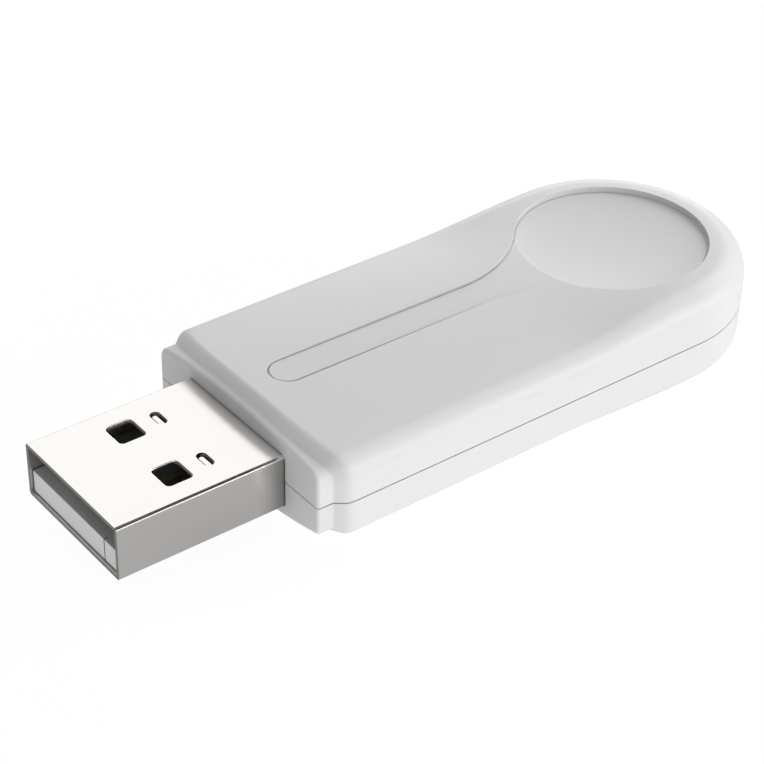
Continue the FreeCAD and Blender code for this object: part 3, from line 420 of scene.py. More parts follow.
def tongue_plastic():
    material, tree, shader = new_material("tongue_plastic")
    coordinates = add(tree, "ShaderNodeTexCoord").outputs
    mouth_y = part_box("plug_shell")[0].y
    depth = axes(tree, coordinates["Object"])["Y"]
    # Painted shade: the top darkens inwards from the mouth.
    top = mixed(tree, remap(tree, depth, mouth_y, mouth_y + TONGUE_SHADE_FADE), *TONGUE_TOP_SHADE)
    facing = axes(tree, coordinates["Normal"])
    # Painted shade on the walls of the slit, which face sideways.
    end = mixed(tree, reckon(tree, "ABSOLUTE", facing["X"]), TONGUE_END, TONGUE_SLIT_SHADE)
    pores = effect(tree, FINE_GRAIN, Size=TONGUE_GRAIN, Depth=PORE_DEPTH)
    dress(tree, shader, mixed(tree, remap(tree, facing["Z"], *TOP_FACING), end, top),
          wander(tree, pores.outputs["Mask"], *TONGUE_SHEEN), pores.outputs["Normal"])
    return material

# %% [markdown]
# ## Board
# Green film over woven glass: the film is glossy, and the cloth shows through as a faint
# check, lighter where a thread comes up. A plain green would do from afar. The check costs
# only the group that is already there.

# %% Lay up the board
FILM_DARK = (0.012, 0.125, 0.055)
FILM_LIGHT = (0.026, 0.19, 0.085)
FILM_SHEEN = (0.25, 0.4)


def board_laminate():
    material, tree, shader = new_material("board_laminate")
    cloth = effect(tree, WEAVE, Pitch=0.0005, Depth=0.000005)
    film = effect(tree, FINE_GRAIN, Size=0.001, Depth=0.0)
    dress(tree, shader, mixed(tree, cloth.outputs["Mask"], FILM_DARK, FILM_LIGHT),
          wander(tree, film.outputs["Mask"], *FILM_SHEEN), cloth.outputs["Normal"])
    return material

# %% [markdown]
# ## Chips and ceramics
# The black chip cases are filled epoxy with a coarse matt grain. The small ceramic blocks are
# pressed powder: speckled in colour and smooth to the touch. One recipe serves them all, with
# two colours, two bounds of roughness and a size of grain.

# %% Press and mould the small parts
SPECK_DETAIL = 4.0
MATT_SHEEN = (0.45, 0.65)
FERRITE_SHEEN = (0.4, 0.55)
CERAMIC_SHEEN = (0.35, 0.5)


def speckled(name, dark, light, sheen, grain=0.00005, depth=0.000002):
    material, tree, shader = new_material(name)
    specks = effect(tree, FINE_GRAIN, Size=grain, Depth=depth, Detail=SPECK_DETAIL)
    mask = specks.outputs["Mask"]
    dress(tree, shader, mixed(tree, mask, dark, light), wander(tree, mask, *sheen),
          specks.outputs["Normal"])
    return material

# %% Give every part of the frame its finish
FINISHES = {
    "white_plastic": white_plastic("satin_white_plastic", grey=0.80, grain=0.0001),
    "plug_steel": plug_steel(),
    "tongue_plastic": tongue_plastic(),
    "gold_contact": sheet_metal("gold_plating", GOLD, GOLD_SHEEN),
    "board_laminate": board_laminate(),
    "tinned_sheet": sheet_metal("tinned_sheet", TIN, TIN_SHEEN),
    "black_moulding": speckled("black_moulding", (0.014, 0.014, 0.014), (0.03, 0.03, 0.031),
                               MATT_SHEEN, grain=0.00008, depth=0.000006),
    "dark_ceramic": speckled("dark_ceramic", (0.045, 0.045, 0.05), (0.08, 0.078, 0.082),
                             FERRITE_SHEEN),
    "tan_ceramic": speckled("tan_ceramic", (0.34, 0.23, 0.13), (0.46, 0.33, 0.2),
                            CERAMIC_SHEEN),
    "white_ceramic": speckled("white_ceramic", (0.74, 0.73, 0.69), (0.84, 0.83, 0.8),
                              CERAMIC_SHEEN),
}
for part in frame["record"]["subparts"]:
    node = NODES[part["node"]]
    node.data.materials.clear()
    node.data.materials.append(FINISHES[part["material_slot"]])

# %% [markdown]
# ## The two halves of the housing
# The housing is moulded in two halves that meet at a level seam. Each half is one skin: it
# starts inside the opening for the plug, turns over the front face, climbs the bowed step,
# runs along the straight bar and swings round the tail. A flat grid has just that layout,
# with columns across the part and rows along it, so a grid is made and bent into the skin.
# All lengths here are in millimetres, measured from the front face and from the seam.

# %% Sizes of the housing
MM = 0.001
upper_low, upper_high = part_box("upper_housing")
HALF_WIDTH = upper_high.x / MM
FRONT_Y = upper_low.y / MM
TAIL_CENTRE = upper_high.y / MM - FRONT_Y - HALF_WIDTH
SEAM_HEIGHT = 4.3
SEAM_GAPS = (0.0, 0.11)  # how far the upper and the lower half stop short of the seam
WALL = 1.2
LIP_WIDTH = 0.5
LIP_HEIGHT = 0.8
LIP_CLEARANCE = 0.05
FRONT_WALL = 2.4
PLUG_REACH = 6.11
COLLAR_STEP = 0.72  # how far the collar lies inside the outline of the bar
FRONT_ROUND = 0.28
STEP_START = (0.35, 1.25)  # where the step starts, in the middle and at the sides
STEP_END = (1.37, 2.62)  # where it ends
STEP_BOW = 2.8  # the power by which it falls back towards the sides
STEP_FOOT = 0.12  # shares of the step that are round, below and above its slope
STEP_CREST = 0.68
BAR_CLEARANCE = 0.4
RISE_START = 23.5  # from here the sections swell towards the tail
FLAT_CROWN = 1000.0  # a crown so wide that it is almost level
OPENING_CORNER = 0.45
HOLLOW_CORNER = 0.5
INSET_SHARE = 0.6  # how fast the collar's shoulder shrinks as its face is inset
print("half width", round(HALF_WIDTH, 2), "tail centre", round(TAIL_CENTRE, 2))

UPPER = {"height": 4.31, "crown": 55.0, "shoulder": 1.75, "collar_shoulder": 1.03,
         "tail_height": 4.48, "tail_shoulder": 2.3, "tail_crown": 400.0,
         "opening": 2.21, "inside": 2.4, "foot": SEAM_GAPS[0], "rebate": True}
LOWER = {"height": 4.35, "crown": 39.5, "shoulder": 0.5, "collar_shoulder": 0.25,
         "tail_height": 4.35, "tail_shoulder": 2.0, "tail_crown": 400.0,
         "opening": 2.41, "inside": 2.45, "foot": SEAM_GAPS[1], "rebate": False}

# %% Section of a shell
SIDE_STEPS = 3
SHOULDER_STEPS = 10
CROWN_STEPS = 12


def half_section(half_width, height, crown, shoulder, foot):
    """One half of a crowned section as (x, z) pairs, from the seam up to the middle."""
    rise = math.sqrt((crown - shoulder) ** 2 - (half_width - shoulder) ** 2)
    spring = rise - crown + height
    turn = math.atan2(rise, half_width - shoulder)
    points = [(half_width, foot + (spring - foot) * i / SIDE_STEPS) for i in range(SIDE_STEPS)]
    for i in range(SHOULDER_STEPS):
        angle = turn * i / SHOULDER_STEPS
        points.append((half_width - shoulder + shoulder * math.cos(angle),
                       spring + shoulder * math.sin(angle)))
    for i in range(CROWN_STEPS + 1):
        angle = turn + (math.pi / 2 - turn) * i / CROWN_STEPS
        points.append((crown * math.cos(angle), height - crown + crown * math.sin(angle)))
    points[-1] = (0.0, height)
    return points


def across(half, y):
    """A row of the skin: the half section and its mirror image at one place along the part."""
    right = [Vector((x, y, z)) for x, z in half]
    left = [Vector((-x, y, z)) for x, z in reversed(half[:-1])]
    return right + left


def swung(half, angle):
    """A row of the tail: both halves swung about the upright line at the tail's centre."""
    right = [Vector((x * math.cos(angle), TAIL_CENTRE + x * math.sin(angle), z)) for x, z in half]
    left = [Vector((-point.x, point.y, point.z)) for point in reversed(right[:-1])]
    return right + left

# %% Rows of a shell's outside
FRONT_ROWS = 6
STEP_ROWS = 14
BAR_ROWS = 4
RISE_ROWS = 8
TAIL_ROWS = 24


def smooth(share):
    return share * share * (3 - 2 * share)


def between(low, high, share):
    return low + (high - low) * share


def step_rise(share):
    """A straight slope with a small round foot and a larger round crest, from 0 to 1."""
    foot, crest = STEP_FOOT, STEP_CREST
    slope = 1 / (1 - foot / 2 - crest / 2)
    if share < foot:
        return slope * share * share / (2 * foot)
    if share > 1 - crest:
        return 1 - slope * (1 - share) ** 2 / (2 * crest)
    return slope * (share - foot / 2)


def step_row(collar, bar, share):
    """A row on the step, which lies further back towards the sides of the housing."""
    row = []
    lift = step_rise(share)
    for low, high in zip(collar, bar):
        back = (abs(high.x) / HALF_WIDTH) ** STEP_BOW
        point = low.lerp(high, lift)
        point.y = between(between(*STEP_START, back), between(*STEP_END, back), share)
        row.append(point)
    return row


def plug_arch(shell):
    """The section of the opening for the plug, with an almost level top."""
    return half_section(PLUG_REACH, shell["opening"], FLAT_CROWN, OPENING_CORNER, shell["foot"])


def outside_rows(shell):
    """All rows of a shell from inside the plug's opening round to the tail's end."""
    foot = shell["foot"]
    arch = plug_arch(shell)
    rows = [across(arch, FRONT_WALL), across(arch, 0.0)]
    for i in range(FRONT_ROWS + 1):
        angle = math.pi / 2 * i / FRONT_ROWS
        inset = FRONT_ROUND * (1 - math.sin(angle))
        face = half_section(HALF_WIDTH - COLLAR_STEP - inset, shell["height"] - COLLAR_STEP - inset,
                            shell["crown"], shell["collar_shoulder"] - inset * INSET_SHARE, foot)
        rows.append(across(face, FRONT_ROUND * (1 - math.cos(angle))))
    collar = across(face, 0.0)
    bar = half_section(HALF_WIDTH, shell["height"], shell["crown"], shell["shoulder"], foot)
    for i in range(STEP_ROWS + 1):
        rows.append(step_row(collar, across(bar, 0.0), i / STEP_ROWS))
    bar_start = STEP_END[1] + BAR_CLEARANCE
    for i in range(BAR_ROWS):
        rows.append(across(bar, bar_start + (RISE_START - bar_start) * i / BAR_ROWS))
    for i in range(RISE_ROWS + 1):
        share = smooth(i / RISE_ROWS)
        place = RISE_START + (TAIL_CENTRE - RISE_START) * i / RISE_ROWS
        crown = 1 / ((1 - share) / shell["crown"] + share / shell["tail_crown"])
        swell = half_section(HALF_WIDTH, between(shell["height"], shell["tail_height"], share),
                             crown, between(shell["shoulder"], shell["tail_shoulder"], share), foot)
        rows.append(across(swell, place))
    for i in range(1, TAIL_ROWS + 1):
        rows.append(swung(swell, math.pi / 2 * i / TAIL_ROWS))
    return rows


def inside_rows(shell):
    """The rows of the hollow, from the same opening to the inside of the tail."""
    foot = shell["foot"]
    arch = plug_arch(shell)
    hollow = half_section(HALF_WIDTH - WALL, shell["inside"], FLAT_CROWN, HOLLOW_CORNER, foot)
    if shell["rebate"]:
        lip_side = HALF_WIDTH - WALL + LIP_WIDTH + LIP_CLEARANCE
        lip_top = LIP_HEIGHT + LIP_CLEARANCE
        hollow[:3] = [(lip_side, foot), (lip_side, lip_top), (HALF_WIDTH - WALL, lip_top)]
    rows = [across(arch, FRONT_WALL), across(hollow, FRONT_WALL), across(hollow, TAIL_CENTRE)]
    for i in range(1, TAIL_ROWS + 1):
        rows.append(swung(hollow, math.pi / 2 * i / TAIL_ROWS))
    return rows

# %% [markdown]
# ### From rows to a closed shell
# The grid operator makes the vertices and faces; sorting them row by row lets each one be
# moved to its place. Outside and hollow meet at the inner edge of the plug's opening, where
# their doubles are merged, and one flat face closes the wall along the seam.

# %% Bend the grids and close the seam
MERGE_DISTANCE = 0.0005


def bent_grid(bm, rows):
    """Adds a grid to bm and moves its vertices onto the given rows of points."""
    made = bmesh.ops.create_grid(bm, x_segments=len(rows[0]) - 1, y_segments=len(rows) - 1,
                                 size=1.0)["verts"]
    made.sort(key=lambda vert: (round(vert.co.y, 4), round(vert.co.x, 4)))
    points = [point for row in rows for point in row]
    for vert, point in zip(made, points, strict=True):
        vert.co = point


def merge(bm):
    bmesh.ops.remove_doubles(bm, verts=bm.verts, dist=MERGE_DISTANCE)


def fill_open_edges(bm):
    open_edges = [edge for edge in bm.edges if edge.is_boundary]
    bmesh.ops.holes_fill(bm, edges=open_edges, sides=0)


def shell_mesh(shell):
    bm = bmesh.new()
    bent_grid(bm, outside_rows(shell))
    bent_grid(bm, inside_rows(shell))
    merge(bm)
    fill_open_edges(bm)
    bmesh.ops.recalc_face_normals(bm, faces=bm.faces)
    return bm

# %% [markdown]
# ### The finger channel and the dish
# A thumb groove runs along the top and opens into a round dish over the tail. Its outline is
# drawn by spinning one vertex through a quarter of the nose, along the side, round the flare
# and half way round the rim, and mirroring the chain. The face inside it is pushed down to
# the floor, and a narrow moat round that floor gives the fine dark line at the foot of its
# walls. It is deepest along the bar and fades where the channel flares. The dish is a turned
# bowl. The mould is etched more coarsely there, and the cut faces are painted slightly greyer
# as painted shade in the groove and the dish, so both cutters bring a second plastic to the
# faces that they cut. The groove could be part of the grid, but cutters leave the crowned top
# round it as it is.

# %% Channel cutter
CHANNEL_HALF_WIDTH = 1.52
CHANNEL_START = 3.1
CHANNEL_DEPTHS = (0.08, 0.25)
FLARE_START = 22.0
DISH_RADIUS = 7.75
DISH_EDGE_DEPTH = 0.55
DISH_DEPTH = 0.9
MOAT_WIDTH = 0.19
MOAT_SHIFT = 0.04  # the moat is this much wider on the right than on average
MOAT_DEPTHS = (0.3, 0.08)  # along the bar and round the dish
BOWL_EDGE = 0.6  # the bowl ends at this share of the moat's width
HAIR = 0.01  # room for rounding when places are compared
TOUCHING = 0.001
LID = 1.0  # how far a cutter stands out of the top
NOSE_STEPS = 12
FLARE_STEPS = 24
RIM_STEPS = 64
BOWL_STEPS = 12
BOWL_TURNS = 96
UPRIGHT = Vector((0, 0, 1))


def turn_chain(bm, vert, centre, angle, steps):
    """Spins the last vertex of a chain about an upright line and returns the new last one."""
    spun = bmesh.ops.spin(bm, geom=[vert], cent=(*centre, vert.co.z), axis=UPRIGHT, angle=angle,
                          steps=steps, dvec=(0, 0, 0), use_duplicate=False)
    return [item for item in spun["geom_last"] if isinstance(item, bmesh.types.BMVert)][0]


def channel_face(bm, z):
    """The flat face inside the outline of the channel and the dish."""
    half, dish, length = CHANNEL_HALF_WIDTH, DISH_RADIUS, TAIL_CENTRE - FLARE_START
    flare = (length ** 2 + half ** 2 - dish ** 2) / (2 * (dish - half))
    swing = math.atan2(length, half + flare)
    nose = CHANNEL_START + half
    last = bm.verts.new((0, CHANNEL_START, z))
    last = turn_chain(bm, last, (0, nose), math.pi / 2, NOSE_STEPS)
    last = bmesh.ops.extrude_vert_indiv(bm, verts=[last])["verts"][0]
    last.co.y = FLARE_START
    last = turn_chain(bm, last, (half + flare, FLARE_START), -swing, FLARE_STEPS)
    turn_chain(bm, last, (0, TAIL_CENTRE), math.pi / 2 + swing, RIM_STEPS)
    bmesh.ops.mirror(bm, geom=bm.verts[:] + bm.edges[:], axis="X",
                     merge_dist=TOUCHING)
    merge(bm)
    bmesh.ops.edgeloop_fill(bm, edges=bm.edges)
    print("channel flare radius", round(flare, 2))
    return bm.faces[:]


def pushed(bm, faces, lift):
    """Extrudes faces and lifts the new ones; returns the faces at the far end."""
    grown = bmesh.ops.extrude_face_region(bm, geom=faces)["geom"]
    verts = [item for item in grown if isinstance(item, bmesh.types.BMVert)]
    bmesh.ops.translate(bm, vec=(0, 0, lift), verts=verts)
    return [item for item in grown if isinstance(item, bmesh.types.BMFace)]


# The second finish carries painted shade into the cut faces.
def give_second_finish(bm):
    """A cut keeps the finish number of the shape that cuts it."""
    for face in bm.faces:
        face.material_index = 1


def channel_floor_z(y):
    """The floor slopes down a little from the nose to the dish."""
    dish_start = TAIL_CENTRE - DISH_RADIUS
    share = min((y - CHANNEL_START) / (dish_start - CHANNEL_START), 1.0)
    shallow, deep = CHANNEL_DEPTHS
    return UPPER["height"] - shallow - (deep - shallow) * share


def moat_depth(y):
    """The groove along the wall is deepest on the bar and fades where the channel flares."""
    flare = TAIL_CENTRE - DISH_RADIUS - FLARE_START
    share = smooth(min(max((y - FLARE_START) / flare, 0.0), 1.0))
    return between(*MOAT_DEPTHS, share)


def channel_cutter():
    bm = bmesh.new()
    lid_z = UPPER["height"] + LID
    dish_z = UPPER["tail_height"] - DISH_EDGE_DEPTH
    floor = pushed(bm, channel_face(bm, lid_z), -LID)
    ring = bmesh.ops.inset_region(bm, faces=floor, thickness=MOAT_WIDTH,
                                  use_even_offset=True)["faces"]
    island = list(floor[0].verts)
    bmesh.ops.translate(bm, vec=(-MOAT_SHIFT, 0, 0), verts=island)
    moat = pushed(bm, ring, 0.0)
    bmesh.ops.delete(bm, geom=ring, context="FACES")
    sunk = {vert for face in moat for vert in face.verts}
    for vert in bm.verts:
        if vert.co.z < lid_z - LID / 2:
            in_dish = math.hypot(vert.co.x, vert.co.y - TAIL_CENTRE) < DISH_RADIUS + HAIR
            depth = moat_depth(vert.co.y) if vert in sunk else 0.0
            level = dish_z if in_dish and vert in sunk else channel_floor_z(vert.co.y)
            vert.co.z = level - depth
    bmesh.ops.recalc_face_normals(bm, faces=bm.faces)
    give_second_finish(bm)
    return bm


def dish_cutter():
    """A turned bowl a hair inside the rim, so that it ends in the middle of the moat."""
    bm = bmesh.new()
    radius = DISH_RADIUS - MOAT_WIDTH * BOWL_EDGE
    edge_z = UPPER["tail_height"] - DISH_EDGE_DEPTH
    middle_z = UPPER["tail_height"] - DISH_DEPTH
    lid_z = UPPER["tail_height"] + LID
    last = bm.verts.new((0, TAIL_CENTRE, middle_z))
    for i in range(1, BOWL_STEPS + 1):
        share = i / BOWL_STEPS
        last = bmesh.ops.extrude_vert_indiv(bm, verts=[last])["verts"][0]
        last.co = (radius * share, TAIL_CENTRE, between(middle_z, edge_z, share ** 2))
    for place in ((radius, TAIL_CENTRE, lid_z), (0, TAIL_CENTRE, lid_z)):
        last = bmesh.ops.extrude_vert_indiv(bm, verts=[last])["verts"][0]
        last.co = place
    bmesh.ops.spin(bm, geom=bm.verts[:] + bm.edges[:], cent=(0, TAIL_CENTRE, 0), axis=UPRIGHT,
                   angle=math.tau, steps=BOWL_TURNS, dvec=(0, 0, 0), use_merge=True)
    merge(bm)
    bmesh.ops.recalc_face_normals(bm, faces=bm.faces)
    give_second_finish(bm)
    return bm

# %% Cut a shape out of a mesh
def mesh_of(bm, name):
    mesh = bpy.data.meshes.new(name)
    bm.to_mesh(mesh)
    bm.free()
    return mesh


def shown(mesh, name):
    thing = bpy.data.objects.new(name, mesh)
    bpy.context.scene.collection.objects.link(thing)
    return thing


def combined(bm, steps, name, finishes):
    """Joins or cuts other shapes, one after the other, and returns the mesh that results."""
    thing = shown(mesh_of(bm, name), name)
    helpers = []
    for operation, other in steps:
        helper = shown(mesh_of(other, "helper"), "helper")
        for finish in finishes:
            helper.data.materials.append(finish)
        change = thing.modifiers.new("change", "BOOLEAN")
        change.operation = operation
        change.solver = "EXACT"
        change.object = helper
        helpers.append(helper)
    for finish in finishes:
        thing.data.materials.append(finish)
    result = bpy.data.meshes.new_from_object(
        thing.evaluated_get(bpy.context.evaluated_depsgraph_get()))
    for used in helpers + [thing]:
        old = used.data
        bpy.data.objects.remove(used)
        bpy.data.meshes.remove(old)
    result.name = name
    return result

# %% [markdown]
# ### Posts, pegs and lip
# Inside, four square posts in each half hold the board between them. Pegs on the lower posts
# pass through the board into the upper ones, and a lip along the lower wall closes the seam
# from within, so the open line between the halves looks dark. They stay hidden, so plain
# blocks and pegs are enough.

# %% Inner features
POST_SIDE = 2.2
POST_INSET = 2.6
POST_X = HALF_WIDTH - WALL - POST_INSET
POST_ROWS = (10.5, TAIL_CENTRE + 1.9)
POST_ROOT = 0.3
BOARD_TOP = -0.45
BOARD_SHEET = 0.8
PEG_RADIUS = 0.6
PEG_HEIGHT = 1.2
LIP_START = 4.0


def block(bm, centre, size):
    made = bmesh.ops.create_cube(bm, size=1.0)["verts"]
    bmesh.ops.scale(bm, vec=size, verts=made)
    bmesh.ops.translate(bm, vec=centre, verts=made)


def peg(bm, centre, height):
    made = bmesh.ops.create_cone(bm, cap_ends=True, segments=24, radius1=PEG_RADIUS,
                                 radius2=PEG_RADIUS, depth=height)["verts"]
    bmesh.ops.translate(bm, vec=centre, verts=made)


def post_places():
    return [(x, y) for x in (-POST_X, POST_X) for y in POST_ROWS]


def upper_posts(bm):
    top = UPPER["inside"] + POST_ROOT
    for x, y in post_places():
        block(bm, (x, y, (top + BOARD_TOP) / 2), (POST_SIDE, POST_SIDE, top - BOARD_TOP))


def lower_posts(bm):
    """The lower half is drawn seam down, so its posts reach from the floor to the board."""
    floor = LOWER["inside"] + POST_ROOT
    board = BOARD_SHEET - BOARD_TOP
    reach = BOARD_SHEET + PEG_HEIGHT + POST_ROOT
    for x, y in post_places():
        block(bm, (x, y, (floor + board) / 2), (POST_SIDE, POST_SIDE, floor - board))
        peg(bm, (x, y, board + POST_ROOT - reach / 2), reach)


def lip(bm):
    """A thin wall that follows the inside of the shell and stands up past the seam."""
    inner, outer = HALF_WIDTH - WALL, HALF_WIDTH - WALL + LIP_WIDTH
    low, high = POST_ROOT, -LIP_HEIGHT
    corners = [(inner, low), (inner, high), (outer, high), (outer, low), (inner, low)]
    rows = []
    for x, z in corners:
        row = [Vector((x, LIP_START, z))]
        for i in range(TAIL_ROWS + 1):
            angle = math.pi * i / TAIL_ROWS
            row.append(Vector((x * math.cos(angle), TAIL_CENTRE + x * math.sin(angle), z)))
        row.append(Vector((-x, LIP_START, z)))
        rows.append(row)
    bent_grid(bm, rows)
    merge(bm)
    fill_open_edges(bm)

# %% Finish the two halves
UP = Matrix.Translation((0, FRONT_Y * MM, SEAM_HEIGHT * MM)) @ Matrix.Scale(MM, 4)
DOWN = UP @ Matrix.Scale(-1, 4, (0, 0, 1))
SMOOTH_ANGLE = math.radians(34)


def seated(bm, mesh, place):
    """Moves a shape in millimetres to its place in the frame and smooths its soft edges."""
    bm.transform(place)
    bmesh.ops.recalc_face_normals(bm, faces=bm.faces)
    bm.to_mesh(mesh)
    bm.free()
    mesh.shade_smooth()
    mesh.set_sharp_from_angle(angle=SMOOTH_ANGLE)


def finished_piece(mesh, name, node):
    piece = shown(mesh, name)
    level = piece.modifiers.new("level_normals", "WEIGHTED_NORMAL")
    level.keep_sharp = True
    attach(piece, "root")
    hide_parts(node)
    print(name, "faces:", len(mesh.polygons))
    return piece


def upper_half(finishes):
    mesh = combined(shell_mesh(UPPER), [("DIFFERENCE", channel_cutter()),
                                        ("DIFFERENCE", dish_cutter())], "upper_half", finishes)
    bm = bmesh.new()
    bm.from_mesh(mesh)
    upper_posts(bm)
    seated(bm, mesh, UP)
    finished_piece(mesh, "upper_half", "upper_housing")


def lower_half(finish):
    """The belly is cut flat where the dongle rests on the table."""
    bm = shell_mesh(LOWER)
    bmesh.ops.bisect_plane(bm, geom=bm.verts[:] + bm.edges[:] + bm.faces[:],
                           plane_co=(0, 0, SEAM_HEIGHT), plane_no=UPRIGHT, clear_outer=True)
    fill_open_edges(bm)
    lower_posts(bm)
    lip(bm)
    mesh = bpy.data.meshes.new("lower_half")
    mesh.materials.append(finish)
    seated(bm, mesh, DOWN)
    finished_piece(mesh, "lower_half", "lower_housing")


# The cut faces: a coarser grain, and a slightly greyer colour that is painted shade in the groove
# and the dish.
ETCHED_AND_SHADED = white_plastic("etched_white_plastic_with_painted_shade", grey=0.78, grain=0.00016)
upper_half((FINISHES["white_plastic"], ETCHED_AND_SHADED))
lower_half(FINISHES["white_plastic"])

# %% [markdown]
# ## The steel plug
# The tube is bent from one sheet: a box without ends whose long edges are rounded, with the
# thickness of the sheet added inwards. Two latch windows are punched through it, and the punch
# draws their rims in a little. Behind each window a small finger is cut free of the sheet
# on three sides: a rounded hole is cut, and a narrower strip is joined back into it. Holes
# could be left open while the sheet is drawn, but cut afterwards they keep it flat round them.
# Lengths are in millimetres from the mouth and from the middle of the tube.

# %% Sizes of the plug
plug_low, plug_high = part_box("plug_shell")
PLUG_WIDTH = (plug_high.x - plug_low.x) / MM
PLUG_HEIGHT = (plug_high.z - plug_low.z) / MM
MOUTH_Y = plug_low.y
PLUG_MIDDLE_Z = (plug_low.z + plug_high.z) / 2
LEG_LENGTH = 2.4
TUBE_LENGTH = (plug_high.y - plug_low.y) / MM - LEG_LENGTH
SHEET = 0.3
BEND = 0.26
WINDOW_SIDE = (2.3, 2.2)
WINDOW_CORNER = 0.35
WINDOW_PLACE = (3.0, 6.36)
WINDOW_ROLL = 0.07  # the radius of the rim that the punch draws in
RIM_ANGLE = 1.0  # an edge sharper than this, in radians, is a rim
FINGER_PLACE = (3.0, 9.1)
FINGER_HOLE = (1.68, 0.82)
FINGER_SIDE = (1.5, 0.37)
FINGER_SHIFT = (0.37, -0.16)
HOLE_ROUND = 0.49  # corner radii, as shares of the width of the hole and the strip
FINGER_ROUND = 0.45
LEG_WIDTH = 2.4
LEG_ROOT = 0.15
LEG_DROP = 0.4
EDGE_ROLL = 0.04
EDGE_ANGLE = math.radians(50)
print("tube", round(PLUG_WIDTH, 2), "x", round(PLUG_HEIGHT, 2), "x", round(TUBE_LENGTH, 2))

# %% Steel tube
def rounded_block(bm, centre, size, corner):
    """A block whose upright edges are rounded."""
    before = set(bm.edges)
    block(bm, centre, size)
    upright = [edge for edge in bm.edges if edge not in before
               and abs(edge.verts[0].co.z - edge.verts[1].co.z) > size[2] / 2]
    bmesh.ops.bevel(bm, geom=upright, offset=corner, segments=6, profile=0.5, affect="EDGES",
                    material=-1)


def bare_tube():
    bm = bmesh.new()
    block(bm, (0, TUBE_LENGTH / 2, 0), (PLUG_WIDTH, TUBE_LENGTH, PLUG_HEIGHT))
    ends = [face for face in bm.faces if abs(face.normal.y) > 0.9]
    bmesh.ops.delete(bm, geom=ends, context="FACES_ONLY")
    along = [edge for edge in bm.edges if abs(edge.verts[0].co.y - edge.verts[1].co.y) > 1.0]
    bmesh.ops.bevel(bm, geom=along, offset=BEND, segments=8, profile=0.5, affect="EDGES",
                    material=-1)
    bmesh.ops.recalc_face_normals(bm, faces=bm.faces)
    bmesh.ops.solidify(bm, geom=bm.faces[:], thickness=SHEET)
    print("tube sheet open edges:", sum(edge.is_boundary for edge in bm.edges))
    return bm


def both_sides(place):
    return [(-place[0], place[1]), (place[0], place[1])]


def finger_holes():
    bm = bmesh.new()
    for x, y in both_sides(FINGER_PLACE):
        rounded_block(bm, (x, y, PLUG_HEIGHT / 2), (*FINGER_HOLE, SHEET * 3),
                      FINGER_HOLE[1] * HOLE_ROUND)
    return bm


def fingers():
    """Each finger stays joined to the sheet at one end and lies free of it on three sides."""
    bm = bmesh.new()
    for x, y in both_sides(FINGER_PLACE):
        rounded_block(bm, (x + FINGER_SHIFT[0], y + FINGER_SHIFT[1], (PLUG_HEIGHT - SHEET) / 2),
                      (*FINGER_SIDE, SHEET), FINGER_SIDE[1] * FINGER_ROUND)
    return bm


def window_cutters():
    bm = bmesh.new()
    for x, y in both_sides(WINDOW_PLACE):
        rounded_block(bm, (x, y, 0), (*WINDOW_SIDE, PLUG_HEIGHT * 2), WINDOW_CORNER)
    return bm


def roll_window_rims(bm):
    """The punch draws the upper rim of each window inwards, in a small round."""
    top = PLUG_HEIGHT / 2 - TOUCHING
    rims = []
    for edge in bm.edges:
        middle = (edge.verts[0].co + edge.verts[1].co) / 2
        near = abs(middle.y - WINDOW_PLACE[1]) < WINDOW_SIDE[1] / 2 + HAIR
        inner = abs(abs(middle.x) - WINDOW_PLACE[0]) < WINDOW_SIDE[0] / 2 + HAIR
        if middle.z > top and near and inner and edge.calc_face_angle(0.0) > RIM_ANGLE:
            rims.append(edge)
    bmesh.ops.bevel(bm, geom=rims, offset=WINDOW_ROLL, segments=5, profile=0.5, affect="EDGES",
                    material=-1)
    print("window rim edges:", len(rims))


def steel_tube(finish):
    mesh = combined(bare_tube(), [("DIFFERENCE", window_cutters()),
                                  ("DIFFERENCE", finger_holes()),
                                  ("UNION", fingers())], "plug_tube", (finish,))
    bm = bmesh.new()
    bm.from_mesh(mesh)
    roll_window_rims(bm)
    for side in (-1, 1):
        block(bm, (side * (PLUG_WIDTH - SHEET) / 2, TUBE_LENGTH + LEG_LENGTH / 2 - LEG_ROOT,
                   -LEG_DROP), (SHEET, LEG_LENGTH + 2 * LEG_ROOT, LEG_WIDTH))
    print("plug tube open edges:", sum(not edge.is_manifold for edge in bm.edges))
    seated(bm, mesh, Matrix.Translation((0, MOUTH_Y, PLUG_MIDDLE_Z)) @ Matrix.Scale(MM, 4))
    piece = finished_piece(mesh, "plug_tube", "plug_shell")
    edges = piece.modifiers.new("rolled_edges", "BEVEL")
    edges.width = EDGE_ROLL * MM
    edges.segments = 2
    edges.limit_method = "ANGLE"
    edges.angle_limit = EDGE_ANGLE
    piece.modifiers.move(len(piece.modifiers) - 1, 0)


steel_tube(FINISHES["plug_steel"])

# %% [markdown]
# ## Studio
# A plain pale floor and a plain sky. Seen by the camera, both are white. Polished steel
# mirrors what stands round it, so a ray that has bounced off metal sees them too, the sky as
# white and the floor as a plain mid grey. Plastic is lit from all sides: by the lamps, by a
# dim sky and by a floor that gives back more light than the sky, as a lit white table does.
# That keeps the low sides of the housing as pale as the high ones. The Light Path node tells
# these rays apart, so one floor serves them all, where a real studio would move cards about.

# %% What the surroundings show
FLOOR_SEEN = 0.93
FLOOR_MIRRORED = 0.8


